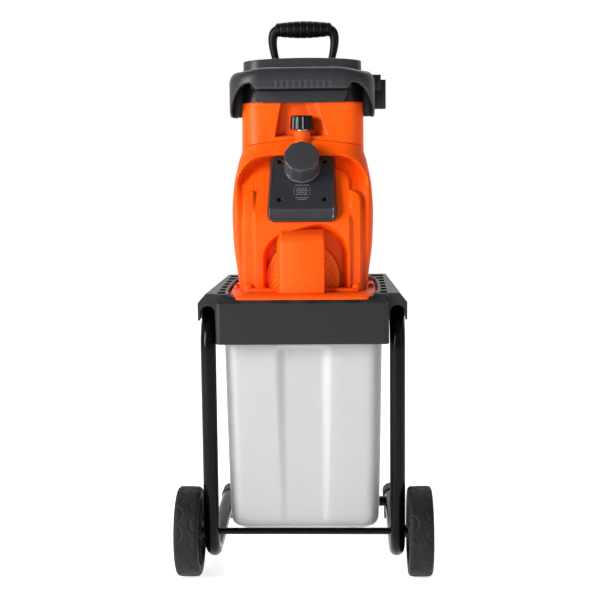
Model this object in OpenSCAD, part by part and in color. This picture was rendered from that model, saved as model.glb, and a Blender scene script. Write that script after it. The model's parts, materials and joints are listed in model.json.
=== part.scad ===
// Electric garden shredder of the quiet drum type. A motor and a spur gearbox turn a
// cutting drum that draws branches past an adjustable counter plate, and the chips fall
// into a bin that slides out like a drawer. The machine stands on two C-shaped tubes
// with a pair of wheels behind and two feet in front.
// Millimetres, +Z up. The wheels are at -Y and the bin comes out towards +Y.
// The origin is on the floor, under the middle of the machine.

/* [Wheels] */
// Radius of each wheel
wheel_r = 80; // [78:1:82]
// Width of each wheel's tread
wheel_w = 38; // [34:1:40]
// Distance from the middle plane to each wheel's inner face
wheel_x = 182; // [181:1:184]

/* [Frame] */
// Outer diameter of the frame tubes
tube_d = 25; // [24:0.5:26]
// Wall of the frame tubes
tube_wall = 2; // [1.5:0.5:3]
// Distance from the middle plane to each tube's centre line
leg_x = 166; // [165:1:167]
// Bend radius of the tubes' centre line
bend_r = 60; // [55:1:65]
// Height of the lower runs' centre line
low_z = 48; // [46:1:50]
// Height of the upper runs' centre line
high_z = 471; // [470:1:472]

/* [Platform] */
// Height of the platform's top
deck_z = 510; // [510:1:510]
// Half the width of the platform over its side rails
deck_x = 183; // [183:1:185]
// Lower edge of the deep skirt round the bin
skirt_z = 423; // [420:1:430]

/* [Housing] */
// Height of the joint between the housing and the hopper
seam_z = 775; // [775:1:775]
// Wall of the moulded housings
wall = 4; // [3:0.5:5]

/* [Hopper] */
// Height of the hopper rim's top edge
rim_z = 920; // [915:1:922]
// Half the width of the hopper's wide lip
lip_x = 130; // [128:1:132]
// Height of the push stick's grip, measured to its top
grip_z = 995; // [990:1:1000]

/* [Adjuster] */
// Elevation of the adjusting knob's axis above the horizontal, in degrees
console_tilt = 33.4; // [32:0.2:35]
// Radius of the adjusting knob
knob_r = 30.5; // [28:0.5:32]
// Length of the adjusting knob
knob_l = 40; // [36:1:42]

/* [Drive] */
// Gear module
gear_m = 1.5; // [1.5:0.1:1.5]
// Teeth on each pinion
pinion_n = 17; // [17:1:17]
// Teeth on each gear wheel
wheel_n = 68; // [68:1:68]
// Radius of the cutting drum over its teeth
drum_r = 46; // [45:0.5:46]

/* [Hidden] */
$fn = 64;

tube_r = tube_d / 2;
axle_y = -150;
axle_z = wheel_r;
axle_r = 6;
run_fit = 0.05;      // radial clearance of a turning fit
gap = 0.3;           // space between parts that move past each other
// The axle crosses each tube inside its lower bend.
leg_y = axle_y - bend_r + sqrt(pow(bend_r, 2) - pow(low_z + bend_r - axle_z, 2));
low_end_y = 226;
high_end_y = 120;
foot_y = [190, 230];

deck_y = [-165, 155];
deck_t = 5;
skirt_x = 151;
skirt_y = -180;

knob_at = [-84, 725];                       // [y, z] of the knob's base on its axis
axis_out = [-cos(console_tilt), sin(console_tilt)];
drum_reach = 165;                           // from the knob's base to the drum's axis
drum_at = knob_at - drum_reach * axis_out;
motor_at = [-42, 574];
motor_r = 54;

function rot2(p, a) = [p[0] * cos(a) - p[1] * sin(a), p[0] * sin(a) + p[1] * cos(a)];
function heading(p, q) = atan2(q[1] - p[1], q[0] - p[0]);

gear_reach = gear_m * (pinion_n + wheel_n) / 2;
// The intermediate shaft closes the triangle over the motor and the drum.
lay_angle = acos(norm(drum_at - motor_at) / 2 / gear_reach);
lay_at = motor_at + gear_reach * rot2([1, 0], heading(motor_at, drum_at) + lay_angle);

// ---------------------------------------------------------------- helpers

// Draws a shape given in the Y-Z plane and makes it x0 to x1 wide.
module across(x0, x1) {
    translate([x0, 0, 0]) rotate([90, 0, 90]) linear_extrude(x1 - x0) children();
}

// A rod along X from x0 to x1 at p = [y, z].
module rod(p, r, x0, x1) {
    translate([x0, p[0], p[1]]) rotate([0, 90, 0]) cylinder(r = r, h = x1 - x0);
}

// A ring along X.
module ring(p, r, bore, x0, x1) {
    difference() {
        rod(p, r, x0, x1);
        rod(p, bore, x0 - 1, x1 + 1);
    }
}

// A block from its lowest to its highest corner.
module block(lo, hi) {
    translate(lo) cube(hi - lo);
}

// An outline in X and Z extruded along Y from y0 to y1.
module along_y(y0, y1) {
    translate([0, y1, 0]) rotate([90, 0, 0]) linear_extrude(y1 - y0) children();
}

module mirrored() {
    children();
    mirror([1, 0, 0]) children();
}

// Puts its children on the console's face: origin at the knob's base, +Z outwards.
module on_console() {
    translate([0, knob_at[0], knob_at[1]]) rotate([90 - console_tilt, 0, 0]) children();
}

// Outline of a rectangle x0..x1 by y0..y1 with corners of radius r and n steps each.
function rounded(x0, x1, y0, y1, r, n = 5) = [
    for (c = [[x1 - r, y1 - r, 0], [x0 + r, y1 - r, 90], [x0 + r, y0 + r, 180], [x1 - r, y0 + r, 270]])
        for (i = [0:n])
            let (a = c[2] + 90 * i / n)
            [c[0] + r * cos(a), c[1] + r * sin(a)]
];

// A solid lofted through level rings. Each section is [z, half width, y near, y far, radius].
module loft(sections, grow = 0) {
    rings = [for (s = sections) [
        for (p = rounded(-s[1] - grow, s[1] + grow, s[2] - grow, s[3] + grow, s[4] + grow)) [p[0], p[1], s[0]]
    ]];
    n = len(rings[0]);
    m = len(rings);
    points = [for (r = rings) for (p = r) p];
    sides = [for (j = [0:m - 2]) for (i = [0:n - 1])
        each [
            [j * n + i, (j + 1) * n + i, (j + 1) * n + (i + 1) % n],
            [j * n + i, (j + 1) * n + (i + 1) % n, j * n + (i + 1) % n]
        ]
    ];
    bottom = [for (i = [0:n - 1]) i];
    top = [for (i = [n - 1:-1:0]) (m - 1) * n + i];
    polyhedron(points, concat([bottom], sides, [top]));
}

// The same loft as a shell with open ends.
module loft_shell(sections, t) {
    last = len(sections) - 1;
    low = sections[0];
    high = sections[last];
    inner = concat(
        [[low[0] - 1, low[1], low[2], low[3], low[4]]],
        [for (i = [1:last - 1]) sections[i]],
        [[high[0] + 1, high[1], high[2], high[3], high[4]]]
    );
    difference() {
        loft(sections);
        loft(inner, -t);
    }
}

// ---------------------------------------------------------------- gears

pressure = 20;
backlash = 0.16;
function inv_deg(a) = tan(a) * 180 / PI - a;
function flank_at(r, n) =
    let (pitch = gear_m * n / 2, base = pitch * cos(pressure))
    90 / n - backlash / pitch * 90 / PI + inv_deg(pressure) - inv_deg(acos(min(1, base / r)));

// Outline of an involute gear with n teeth, the first tooth at angle a.
function gear_outline(n, a, steps = 4) =
    let (
        pitch = gear_m * n / 2,
        root = pitch - 1.25 * gear_m,
        tip = pitch + 0.95 * gear_m,
        start = max(root, pitch * cos(pressure) + 0.01),
        radii = [for (i = [0:steps]) start + (tip - start) * i / steps]
    )
    [for (k = [0:n - 1])
        let (c = a + 360 * k / n)
        each concat(
            root < start - 0.1 ? [root * [cos(c - flank_at(start, n)), sin(c - flank_at(start, n))]] : [],
            [for (r = radii) r * [cos(c - flank_at(r, n)), sin(c - flank_at(r, n))]],
            [for (i = [steps:-1:0])
                let (r = radii[i])
                r * [cos(c + flank_at(r, n)), sin(c + flank_at(r, n))]
            ],
            root < start - 0.1 ? [root * [cos(c + flank_at(start, n)), sin(c + flank_at(start, n))]] : []
        )
    ];

// A gear along X at p with its bore for a shaft.
module gear(p, n, a, x0, x1, bore) {
    difference() {
        across(x0, x1) translate(p) polygon(gear_outline(n, a));
        rod(p, bore, x0 - 1, x1 + 1);
    }
}

to_lay = heading(motor_at, lay_at);
to_drum = heading(lay_at, drum_at);
stage_1 = [-88, -79];
stage_2 = [-100, -90];
lay_r = 7;
motor_shaft_r = 8;
drum_shaft_r = 10;

// ---------------------------------------------------------------- frame

module tube_section() {
    difference() {
        circle(r = tube_r);
        circle(r = tube_r - tube_wall);
    }
}

// A straight run of tube along Y at height z.
module tube_run(y0, y1, z) {
    translate([0, y1, z]) rotate([90, 0, 0]) linear_extrude(y1 - y0) tube_section();
}

module frame_tube(x) {
    color("#1b1b1d") translate([x, 0, 0]) difference() {
        union() {
            tube_run(leg_y + bend_r, high_end_y, high_z);
            tube_run(leg_y + bend_r, low_end_y, low_z);
            translate([0, leg_y, low_z + bend_r]) linear_extrude(high_z - low_z - 2 * bend_r) tube_section();
            translate([0, leg_y + bend_r, high_z - bend_r]) rotate([0, 90, 0]) rotate([0, 0, 180])
                rotate_extrude(angle = 90) translate([bend_r, 0]) rotate(90) tube_section();
            translate([0, leg_y + bend_r, low_z + bend_r]) rotate([0, 90, 0]) rotate([0, 0, -90])
                rotate_extrude(angle = 90) translate([bend_r, 0]) rotate(90) tube_section();
        }
        rod([axle_y, axle_z], axle_r + run_fit, -tube_d, tube_d);
        for (y = bolt_ys) translate([0, y, high_z - tube_r - 1]) cylinder(r = 3.1, h = tube_wall + 2);
    }
}

module left_frame_tube() { frame_tube(-leg_x); }
module right_frame_tube() { frame_tube(leg_x); }

cross_y = 150;

// Tie between the two lower runs, saddled onto them.
module front_cross_tube() {
    color("#1b1b1d") difference() {
        ring([cross_y, low_z], 10, 8, -leg_x, leg_x);
        for (x = [-leg_x, leg_x])
            translate([x, cross_y - 30, low_z]) rotate([-90, 0, 0]) cylinder(r = tube_r + 0.05, h = 60);
    }
}

// Moulded feet that cap the lower runs and reach the floor.
module feet() {
    color("#2d2d30") mirrored() difference() {
        union() {
            translate([leg_x, foot_y[0], low_z]) rotate([-90, 0, 0])
                cylinder(r = tube_r + 3.5, h = foot_y[1] - foot_y[0]);
            block([leg_x - 13, foot_y[0], 0], [leg_x + 13, foot_y[1], low_z]);
        }
        translate([leg_x, foot_y[0] - 1, low_z]) rotate([-90, 0, 0])
            cylinder(r = tube_r + 0.05, h = low_end_y - foot_y[0] + 1);
    }
}

module tube_end_plugs() {
    color("#202022") mirrored() translate([leg_x, high_end_y, high_z]) rotate([-90, 0, 0]) {
        cylinder(r = tube_r, h = 3);
        translate([0, 0, -12]) cylinder(r = tube_r - tube_wall - 0.05, h = 12);
    }
}

axle_end_x = wheel_x + wheel_w - 8;

module axle() {
    color("#3a3a3c") rod([axle_y, axle_z], axle_r, -axle_end_x, axle_end_x);
}

// Spacers between each tube and its wheel, and the push-on caps that hold the wheels.
module axle_spacers() {
    color("#1c1c1e") mirrored() {
        ring([axle_y, axle_z], 11, axle_r + 0.02, leg_x + tube_r, wheel_x - gap);
        ring([axle_y, axle_z], 11, axle_r + 0.02, axle_end_x - 5, axle_end_x - 1);
    }
}

bolt_ys = [-60, 90];

// Hexagon bolts that hold the platform's side rails down onto the upper runs.
module frame_bolts() {
    color("#55565a") mirrored() for (y = bolt_ys) translate([leg_x, y, 0]) {
        translate([0, 0, high_z - tube_r - 6]) cylinder(r = 7, h = 6, $fn = 6);
        translate([0, 0, high_z - tube_r - 0.01]) cylinder(r = 3, h = tube_wall);
    }
}

// ---------------------------------------------------------------- wheels

hub_x = 10;           // how far the hub stands in from the outer face

// One wheel on the right: tyre, web and hub in one moulding, turned about the axle.
module wheel_body() {
    face = wheel_x + wheel_w;
    crown = 3;
    profile = [
        [axle_r + run_fit, wheel_x], [16, wheel_x], [16, wheel_x + 12], [wheel_r - 22, wheel_x + 16],
        [wheel_r - 20, wheel_x + 3], [wheel_r - 12, wheel_x], [wheel_r - 5, wheel_x + 1],
        [wheel_r - crown, wheel_x + 3], [wheel_r, wheel_x + 9], [wheel_r, face - 9],
        [wheel_r - crown, face - 3], [wheel_r - 6, face - 1], [wheel_r - 14, face],
        [wheel_r - 20, face - 4], [wheel_r - 24, face - 14], [18, face - 14],
        [16, face - hub_x - 5.3], [axle_r + run_fit, face - hub_x - 5.3]
    ];
    translate([0, axle_y, axle_z]) rotate([0, 90, 0]) rotate_extrude($fn = 96) polygon(profile);
}

// Domed cap that clips into the wheel's web.
module hub_cap_body() {
    face = wheel_x + wheel_w;
    dome = [[0, face - 7], [16, face - 7], [16, face - 13.9], [19, face - 13.9], [19, face - 7],
        [45, face - 7], [50, face - 13.9], [53, face - 13.9], [50, face - 3], [42, face + 3],
        [26, face + 7.5], [12, face + 9], [0, face + 9]];
    translate([0, axle_y, axle_z]) rotate([0, 90, 0]) rotate_extrude($fn = 96) polygon(dome);
}

module left_wheel() { color("#2a2a2c") mirror([1, 0, 0]) wheel_body(); }
module right_wheel() { color("#2a2a2c") wheel_body(); }
module left_hub_cap() { color("#f2600c") mirror([1, 0, 0]) hub_cap_body(); }
module right_hub_cap() { color("#f2600c") hub_cap_body(); }

// ---------------------------------------------------------------- platform

rail_low_z = 463;      // lower edge of the side rails
rail_wall = 2.6;
rail_near = [14, 16];  // width and height of the bevel along a rail, at the wheel end
rail_far = [28, 37];   // and at the front

// Cross-section of a side rail at plane y, as a thin slab, shrunk by inset.
module rail_slab(y, bevel, inset) {
    low = inset > 0 ? rail_low_z - 1 : rail_low_z;
    translate([0, y + 1, 0]) rotate([90, 0, 0]) linear_extrude(1) polygon([
        [skirt_x - 4 + inset, low], [deck_x - inset, low], [deck_x - inset, deck_z - bevel[1] - inset / 3],
        [deck_x - bevel[0] - inset / 3, deck_z - inset], [skirt_x - 4 + inset, deck_z - inset]
    ]);
}

// Hollow side rail, open below, that covers the upper run of a tube.
module side_rail() {
    difference() {
        hull() {
            rail_slab(deck_y[0] + 5, rail_near, 0);
            rail_slab(deck_y[1] - 1, rail_far, 0);
        }
        hull() {
            rail_slab(deck_y[0] + 8, rail_near, rail_wall);
            rail_slab(deck_y[1] - 4, rail_far, rail_wall);
        }
        // mouth for the tube at the wheel end
        block([leg_x - tube_r - 0.5, deck_y[0] - 2, 440], [leg_x + tube_r + 0.5, -120, high_z + 5]);
        translate([leg_x, deck_y[0] - 2, high_z + 5]) rotate([-90, 0, 0]) cylinder(r = tube_r + 0.5, h = 30);
    }
}

vent_pitch = 44;
skirt_r = 9;

// Squircle of the orange base, cut out of the deck, with its near end squared off at the skirt.
base_x = 132;
base_y = [-166, -38];
module base_outline(grow = 0) {
    polygon([for (i = [0:79])
        let (c = cos(4.5 * i), s = sin(4.5 * i), k = pow(pow(c, 4) + pow(s, 4), -0.25))
        [(base_x + grow) * c * k, max(base_y[0] - grow, base_y[1] + ((s > 0 ? 185 : 190) + grow) * s * k)]
    ]);
}

module platform() {
    color("#3b3b40") difference() {
        union() {
            // deck
            block([-skirt_x, deck_y[0], deck_z - deck_t], [skirt_x, deck_y[1], deck_z]);
            mirrored() side_rail();
            // deep skirt round the bin on three sides
            difference() {
                block([-skirt_x, skirt_y, skirt_z], [skirt_x, deck_y[1], deck_z - 0.5]);
                block([4 - skirt_x, skirt_y + 4, skirt_z - 1], [skirt_x - 4, deck_y[1] + 1, 490]);
                block([4 - skirt_x, -163, 489], [skirt_x - 4, deck_y[1] + 1, deck_z - deck_t]);
                // sloping top of the skirt at the wheel end
                across(-skirt_x - 1, skirt_x + 1)
                    polygon([[skirt_y - 1, deck_z - 15.5], [skirt_y, deck_z - 15.5], [-168, deck_z - 4.5],
                        [deck_y[0], deck_z - 4.5], [deck_y[0], deck_z + 1], [skirt_y - 1, deck_z + 1]]);
                // upright corners at the wheel end, rounded, and the top corners cut off
                mirrored() translate([skirt_x - skirt_r, skirt_y + skirt_r, skirt_z - 1]) difference() {
                    translate([0, -skirt_r - 1, 0]) cube([skirt_r + 1, skirt_r + 1, 100]);
                    translate([0, 0, -1]) cylinder(r = skirt_r, h = 102);
                }
                mirrored() along_y(skirt_y - 1, deck_y[0]) polygon([
                    [skirt_x - 14, deck_z], [skirt_x + 1, deck_z - 15], [skirt_x + 1, deck_z]
                ]);
            }
            // ledges that carry the bin's rim
            mirrored() block([skirt_x - 10, -170, 477], [skirt_x - 3.5, deck_y[1], 483.4]);
        }
        translate([0, 0, deck_z - deck_t - 1]) linear_extrude(deck_t + 2) base_outline(2);
        // louvres beside the base
        mirrored() for (y = [-158:vent_pitch:110])
            difference() {
                block([118, y, deck_z - deck_t - 1], [149, y + 29, deck_z + 1]);
                translate([0, 0, deck_z - deck_t - 2]) linear_extrude(deck_t + 4) base_outline(7);
            }
    }
}

lock_y = [deck_y[1], 206];
tongue_y = [196.3, 201.3];

// Bracket at the front that guides the bin's safety slider.
module bin_lock_bracket() {
    color("#3b3b40") difference() {
        block([-34, lock_y[0], 491], [34, lock_y[1], 509]);
        block([-12.3, tongue_y[0] - gap, 480], [12.3, tongue_y[1] + gap, 520]);
    }
}

module bin_lock_slider() {
    color("#f2600c") {
        block([-12, tongue_y[0], 489.5], [12, tongue_y[1], 516]);
        block([-24, 186, 516], [24, 206, 524]);
    }
}

// ---------------------------------------------------------------- lower housing

module base_seal() {
    color("#151515") translate([0, 0, deck_z - deck_t]) linear_extrude(6) difference() {
        base_outline(1.9);
        base_outline(0.1);
        translate([-123, -175]) square([246, 20]);
    }
}

chute_x = 72;
chute_y = [22, 108];
base_top = 514;

module base_plate() {
    color("#f2600c") difference() {
        translate([0, 0, deck_z - deck_t]) linear_extrude(base_top - deck_z + deck_t) base_outline();
        block([-chute_x - 0.1, chute_y[0] - 0.1, 500], [chute_x + 0.1, chute_y[1] + 0.1, 520]);
    }
}

housing_sections = [
    [514, 115, -125, 124, 40], [545, 118.5, -127, 126, 42], [585, 123.5, -127, 128, 42],
    [645, 126, -122, 128, 42], [680, 124.5, -114, 127, 42], [706, 121.5, -105, 125, 42],
    [735, 115.5, -92, 121, 40], [760, 110.5, -79, 116, 38], [seam_z, 110, -72, 112, 36]
];
cover_x = 104;

// Arched outline of the opening that the rear cover fills, seen from the wheel side.
module cover_outline(grow) {
    polygon(rounded(-cover_x - grow, cover_x + grow, 400, 742 + grow, 52, 8));
}

feed_y = [-12, 104];
feed_x = 72;
hinge_at = [121, 784];
roof_t = 4;

// Housing lug for the hopper's hinge.
module housing_lug() {
    difference() {
        union() {
            rod(hinge_at, 7.5, 46, 60);
            block([46, 111.5, seam_z - 16], [60, 121, seam_z]);
            block([46, 113.7, seam_z - 1], [60, 121, hinge_at[1]]);
        }
        rod(hinge_at, 4, 40, 70);
    }
}

module main_housing() {
    color("#f2600c") difference() {
        union() {
            loft_shell(housing_sections, wall);
            // roof round the feed opening
            difference() {
                translate([0, 0, seam_z - roof_t]) linear_extrude(roof_t)
                    polygon(rounded(-107, 107, -69, 109, 34));
                block([-feed_x - 3, feed_y[0] - 3, 760], [feed_x + 3, feed_y[1] + 4, 790]);
            }
            // boss that takes the locking screw
            translate([0, lock_at, seam_z - 22]) cylinder(r = neck_r, h = 22);
            // wall of the pocket that the adjusting knob turns in
            intersection() {
                loft(housing_sections);
                on_console() translate([0, 0, 0.6]) cylinder(r = knob_r + 5, h = 40);
                block([-60, -130, 742.2], [60, -60, 768]);
            }
            mirrored() housing_lug();
        }
        translate([0, -55, 0]) rotate([90, 0, 0]) linear_extrude(100) cover_outline(0.2);
        translate([0, lock_at, seam_z - 16]) cylinder(r = 6.2, h = 30);
        on_console() translate([0, 0, -1]) cylinder(r = knob_r + 2, h = 60);
    }
}

// Side profile of the rear cover's middle panel and of the step beside it.
cover_low = base_top + 0.1;
cover_middle = [[-119, cover_low], [-123, 560], [-121, 632], [-62, 731], [-50, 731], [-50, cover_low]];
cover_step = [[-111, cover_low], [-115, 560], [-112, 634], [-84, 690], [-50, 715], [-50, cover_low]];
module inset_profile(points, d) {
    polygon([for (p = points) [p[0] + d, p[1] > 700 ? p[1] - d : p[1] < 520 ? p[1] - d : p[1]]]);
}

module rear_cover() {
    color("#f2600c") difference() {
        intersection() {
            union() {
                across(-80, 80) polygon(cover_middle);
                across(-cover_x, cover_x) polygon(cover_step);
            }
            translate([0, -55.5, 0]) rotate([90, 0, 0]) linear_extrude(100) cover_outline(0);
        }
        across(-76.5, 76.5) inset_profile(cover_middle, 3.5);
        across(-cover_x + 3.5, cover_x - 3.5) inset_profile(cover_step, 3.5);
        // alcove with the round vent
        translate([0, -90, 0]) rotate([90, 0, 0]) linear_extrude(100)
            polygon(rounded(-69, 69, 480, 604, 42, 6));
        on_console() translate([0, 0, -60]) cylinder(r = 14, h = 80);
        // room for the gearbox beside the side walls
        mirrored() block([cover_x - 4, -74, 520], [cover_x + 1, -50, 700]);
        // clearance for the console's screws
        on_console() for (p = screw_at) translate([p[0], p[1], -60]) cylinder(r = 2.5, h = 80);
    }
}

vent_at = [0, 533];
vent_r = 66;

// Round louvred disc over the motor's cooling air inlet.
module motor_vent_grille() {
    color("#f2600c") difference() {
        translate([0, -102, vent_at[1]]) rotate([-90, 0, 0]) cylinder(r1 = vent_r - 6, r2 = vent_r, h = 5);
        block([-70, -120, 400], [70, -80, base_top + 0.1]);
        for (a = [0:20:340])
            translate([0, -102, vent_at[1]]) rotate([0, a, 0])
                block([-2, -5, 45], [2, 15, 60]);
    }
}

// Boxed duct down the middle of the rear cover, for the wiring to the motor.
module rear_duct_cover() {
    back = -102.1;
    outer = [[-150, cover_low], [-150, 606], [-141, 622], [-124, 628], [back, 628], [back, cover_low]];
    inner = [[-147, 510], [-147, 604], [-139, 619], [-124, 625], [-100, 625], [-100, 510]];
    color("#f2600c") difference() {
        across(-40, 40) polygon(outer);
        across(-37, 37) polygon(inner);
        block([-50, -124, 610], [50, -100, 640]);
        block([-50, -123.2, 560], [50, -100, 640]);
    }
}

// Screws of the base plate's corners and of the console.
module housing_screws() {
    color("#2c2c2e") {
        for (x = [-122, 122], y = [-62, 52]) translate([x, y, base_top]) cylinder(r = 4, h = 2);
        on_console() for (p = screw_at) translate([p[0], p[1], -5]) {
            cylinder(r = 4, h = 2.2);
            translate([0, 0, -14]) cylinder(r = 2.2, h = 14);
        }
    }
}

// ---------------------------------------------------------------- console and adjuster

screw_at = [for (x = [-40, 40], y = [-65, 13]) [x, y]];
console_x = 57;
console_outer = [[-66, 752], [-125, 662], [-129, 652], [-128, 634], [-121.2, 633], [-58.2, 738.5]];
console_inner = [[-68, 741], [-120, 662], [-125, 650], [-124, 639], [-119, 636], [-55, 743]];

module console() {
    color("#46474c") difference() {
        union() {
            difference() {
                intersection() {
                    across(-console_x, console_x) polygon(console_outer);
                    along_y(-132, -50) polygon(rounded(-console_x, console_x, 633, 753, 12, 6));
                }
                intersection() {
                    across(-console_x + 3, console_x - 3) polygon(console_inner);
                    along_y(-132, -50) polygon(rounded(3 - console_x, console_x - 3, 636, 750, 10, 6));
                }
                // the part behind the cover's skin
                across(-90, 90) polygon([
                    [-121, 620], [-121, 632.3], [-61.5, 732.2], [-61.5, 760], [-20, 760], [-20, 620]
                ]);
            }
            // pillars for the four screws
            on_console() for (p = screw_at) translate([p[0], p[1], -8]) cylinder(r = 6, h = 7);
            on_console() translate([0, 0, -9]) cylinder(r = 17, h = 9);
        }
        on_console() {
            translate([0, 0, -20]) cylinder(r = 12, h = 30);
            for (p = screw_at) translate([p[0], p[1], -20]) {
                cylinder(r = 2.5, h = 40);
                translate([0, 0, 15]) cylinder(r = 4.2, h = 10);
            }
        }
    }
}

module adjuster_bush() {
    color("#b08d4a") on_console() translate([0, 0, -12]) difference() {
        cylinder(r = 11.95, h = 12.2);
        translate([0, 0, -1]) cylinder(r = 6 + run_fit, h = 20);
    }
}

module adjusting_knob() {
    color("#505257") on_console() difference() {
        union() {
            translate([0, 0, 0.5]) cylinder(r = knob_r, h = 12.5);
            translate([0, 0, 13]) cylinder(r = knob_r - 0.5, h = knob_l - 13, $fn = 12);
        }
        cylinder(r = 6, h = 25);
    }
}

screw_tip = -104;

module adjusting_screw() {
    color("#9a9ca0") on_console() difference() {
        translate([0, 0, screw_tip]) cylinder(r = 6, h = 25 - screw_tip);
        // circlip groove behind the bush
        translate([0, 0, -15]) difference() {
            cylinder(r = 7, h = 2);
            cylinder(r = 5, h = 2);
        }
    }
}

plate_face = -drum_reach + drum_r + 1.8;

// Counter plate with the threaded boss that the adjusting screw pushes.
module counter_plate() {
    color("#a9abad") on_console() difference() {
        union() {
            block([-64, -32, plate_face], [64, 38, plate_face + 12]);
            translate([0, 0, plate_face + 11]) cylinder(r = 17, h = 20);
        }
        translate([0, 0, plate_face + 5]) cylinder(r = 6.1, h = 40);
        for (x = [-48:16:48]) translate([x, 0, plate_face - 0.01])
            block([-2, -33, -0.1], [2, 39, 2]);
    }
}

// ---------------------------------------------------------------- cutting unit

plate_x = [67.5, 72];
bearing_r = 20;

// Welded chamber: two side plates, the front wall, a funnel wall and a deflector.
module cutting_chamber() {
    color("#7d8084") {
        mirrored() difference() {
            across(plate_x[0], plate_x[1]) polygon([
                [24, 578], [108, 578], [108, 770], [feed_y[0], 770],
                [-28, 726], [-34, 690], [-20, 652], [-4, 628]
            ]);
            rod(drum_at, bearing_r, 60, 80);
        }
        across(-plate_x[0], plate_x[0]) polygon([[104, 578], [108, 578], [108, 770], [104, 770]]);
        across(-plate_x[0], plate_x[0]) polygon([[-12, 770], [-9, 770], [11, 714], [8, 714]]);
        across(-plate_x[0], plate_x[0]) polygon([[24, 578], [27.5, 578], [-0.5, 629], [-4, 628]]);
    }
}

module drum_bearings() {
    color("#b9bbbe") mirrored() ring(drum_at, bearing_r - 0.02, drum_shaft_r + run_fit, 66.2, plate_x[1]);
}

drum_teeth = 8;

// Depth below the tips and angle before the tip, along one hooked tooth.
tooth = [[9, -30], [8, -16], [4, -6], [0, 0], [9, 4]];

// Drum outline: hooked teeth round a solid core.
function drum_outline() = [for (k = [0:drum_teeth - 1], t = tooth)
    let (a = 360 * k / drum_teeth + t[1])
    (drum_r - t[0]) * [cos(a), sin(a)]
];

module cutting_drum() {
    color("#8d9094") difference() {
        across(-65, 65) translate(drum_at) polygon(drum_outline());
        rod(drum_at, drum_shaft_r, -70, 70);
        // rings that part the teeth into rows
        for (x = [-48.75:16.25:48.75]) ring(drum_at, drum_r + 1, drum_r - 6, x - 1.5, x + 1.5);
    }
}

module drum_shaft() {
    color("#9a9ca0") rod(drum_at, drum_shaft_r, -101, 76);
}

module drum_gear() {
    color("#a2977a")
        gear(drum_at, wheel_n, to_drum + 180 + 180 / wheel_n, stage_2[0], stage_2[1], drum_shaft_r);
}

module discharge_chute() {
    color("#2b2b2e") difference() {
        block([-chute_x, chute_y[0], 497], [chute_x, chute_y[1], 577.9]);
        block([-chute_x + 3, chute_y[0] + 3, 490], [chute_x - 3, chute_y[1] - 3, 580]);
    }
}

// ---------------------------------------------------------------- gearbox and motor

// Outline round both gear wheels and the motor's pinion.
module gearbox_outline(r) {
    hull() {
        translate(lay_at) circle(r = r);
        translate(drum_at) circle(r = r);
        translate(motor_at) circle(r = r - 28);
    }
}

module gearbox_housing() {
    color("#9b9da1") difference() {
        union() {
            across(-102, -plate_x[1]) gearbox_outline(55.5);
            rod(motor_at, 25, -74, -64);
        }
        across(-103, -76) gearbox_outline(53);
        rod(motor_at, motor_shaft_r + 1, -110, -60);
        rod(drum_at, drum_shaft_r + 1, -110, -60);
        rod(lay_at, lay_r + run_fit, -80, -74);
    }
}

module gearbox_cover() {
    color("#9b9da1") difference() {
        across(-106, -102.05) gearbox_outline(55.5);
        rod(lay_at, lay_r + run_fit, -104, -100);
    }
}

// Shaft with the second stage's pinion cut on it.
module intermediate_pinion_shaft() {
    color("#8f9196") {
        rod(lay_at, lay_r, -103.8, stage_2[0] - 0.5);
        across(stage_2[0] - 0.5, stage_1[0]) translate(lay_at) polygon(gear_outline(pinion_n, to_drum));
        rod(lay_at, lay_r, stage_1[0], -74.2);
    }
}

module intermediate_gear() {
    color("#a2977a") gear(lay_at, wheel_n, to_lay + 180 + 180 / wheel_n, stage_1[0], stage_1[1], lay_r);
}

module motor_pinion() {
    color("#8f9196") gear(motor_at, pinion_n, to_lay, stage_1[0] - 0.5, stage_1[1] + 1, 4);
}

module motor_rotor() {
    color("#8a8c90") {
        rod(motor_at, 29, -46, 46);
        rod(motor_at, motor_shaft_r, -78, 86);
        rod(motor_at, 4, -88.5, -78);
    }
}

module motor_stator() {
    color("#6d5a3a") ring(motor_at, motor_r, 29.6, -48, 48);
}

module motor_end_shields() {
    color("#9b9da1") mirrored() difference() {
        union() {
            rod(motor_at, motor_r, 48, 64);
            block([50, motor_at[0] - 40, base_top], [62, motor_at[0] + 40, motor_at[1] - 42]);
        }
        rod(motor_at, motor_r - 5, 47, 58);
        rod(motor_at, motor_shaft_r + run_fit, 40, 70);
    }
}

module motor_fan() {
    color("#2b2b2e") difference() {
        union() {
            ring(motor_at, 14, motor_shaft_r, 66, 86);
            ring(motor_at, 48, motor_shaft_r, 82, 85);
            for (a = [0:45:315]) translate([66, motor_at[0], motor_at[1]]) rotate([a, 0, 0])
                block([0, 13, -1], [17, 46, 1]);
        }
        rod(motor_at, motor_shaft_r, 60, 90);
    }
}

module motor_capacitor() {
    color("#c9c9cc") translate([30, 70, base_top + 8]) block([58, -60, 0], [80, 5, 24]);
}

// ---------------------------------------------------------------- hopper

hopper_sections = [
    [seam_z + gap, 110, -70, 112, 36], [800, 110, -66, 114, 36],
    [825, 109.5, -63, 116, 35], [842, 109, -62, 118, 34]
];
lock_at = -70;
lock_top = 791;
neck_r = 14.5;

module hopper_lug() {
    difference() {
        union() {
            rod(hinge_at, 7.5, 30, 45.6);
            block([30, 106, seam_z + 2], [45.6, 121, 802]);
        }
        rod(hinge_at, 4 + run_fit, 20, 70);
        block([20, 90, seam_z - 10], [70, 111.8, 810]);
    }
}

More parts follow.
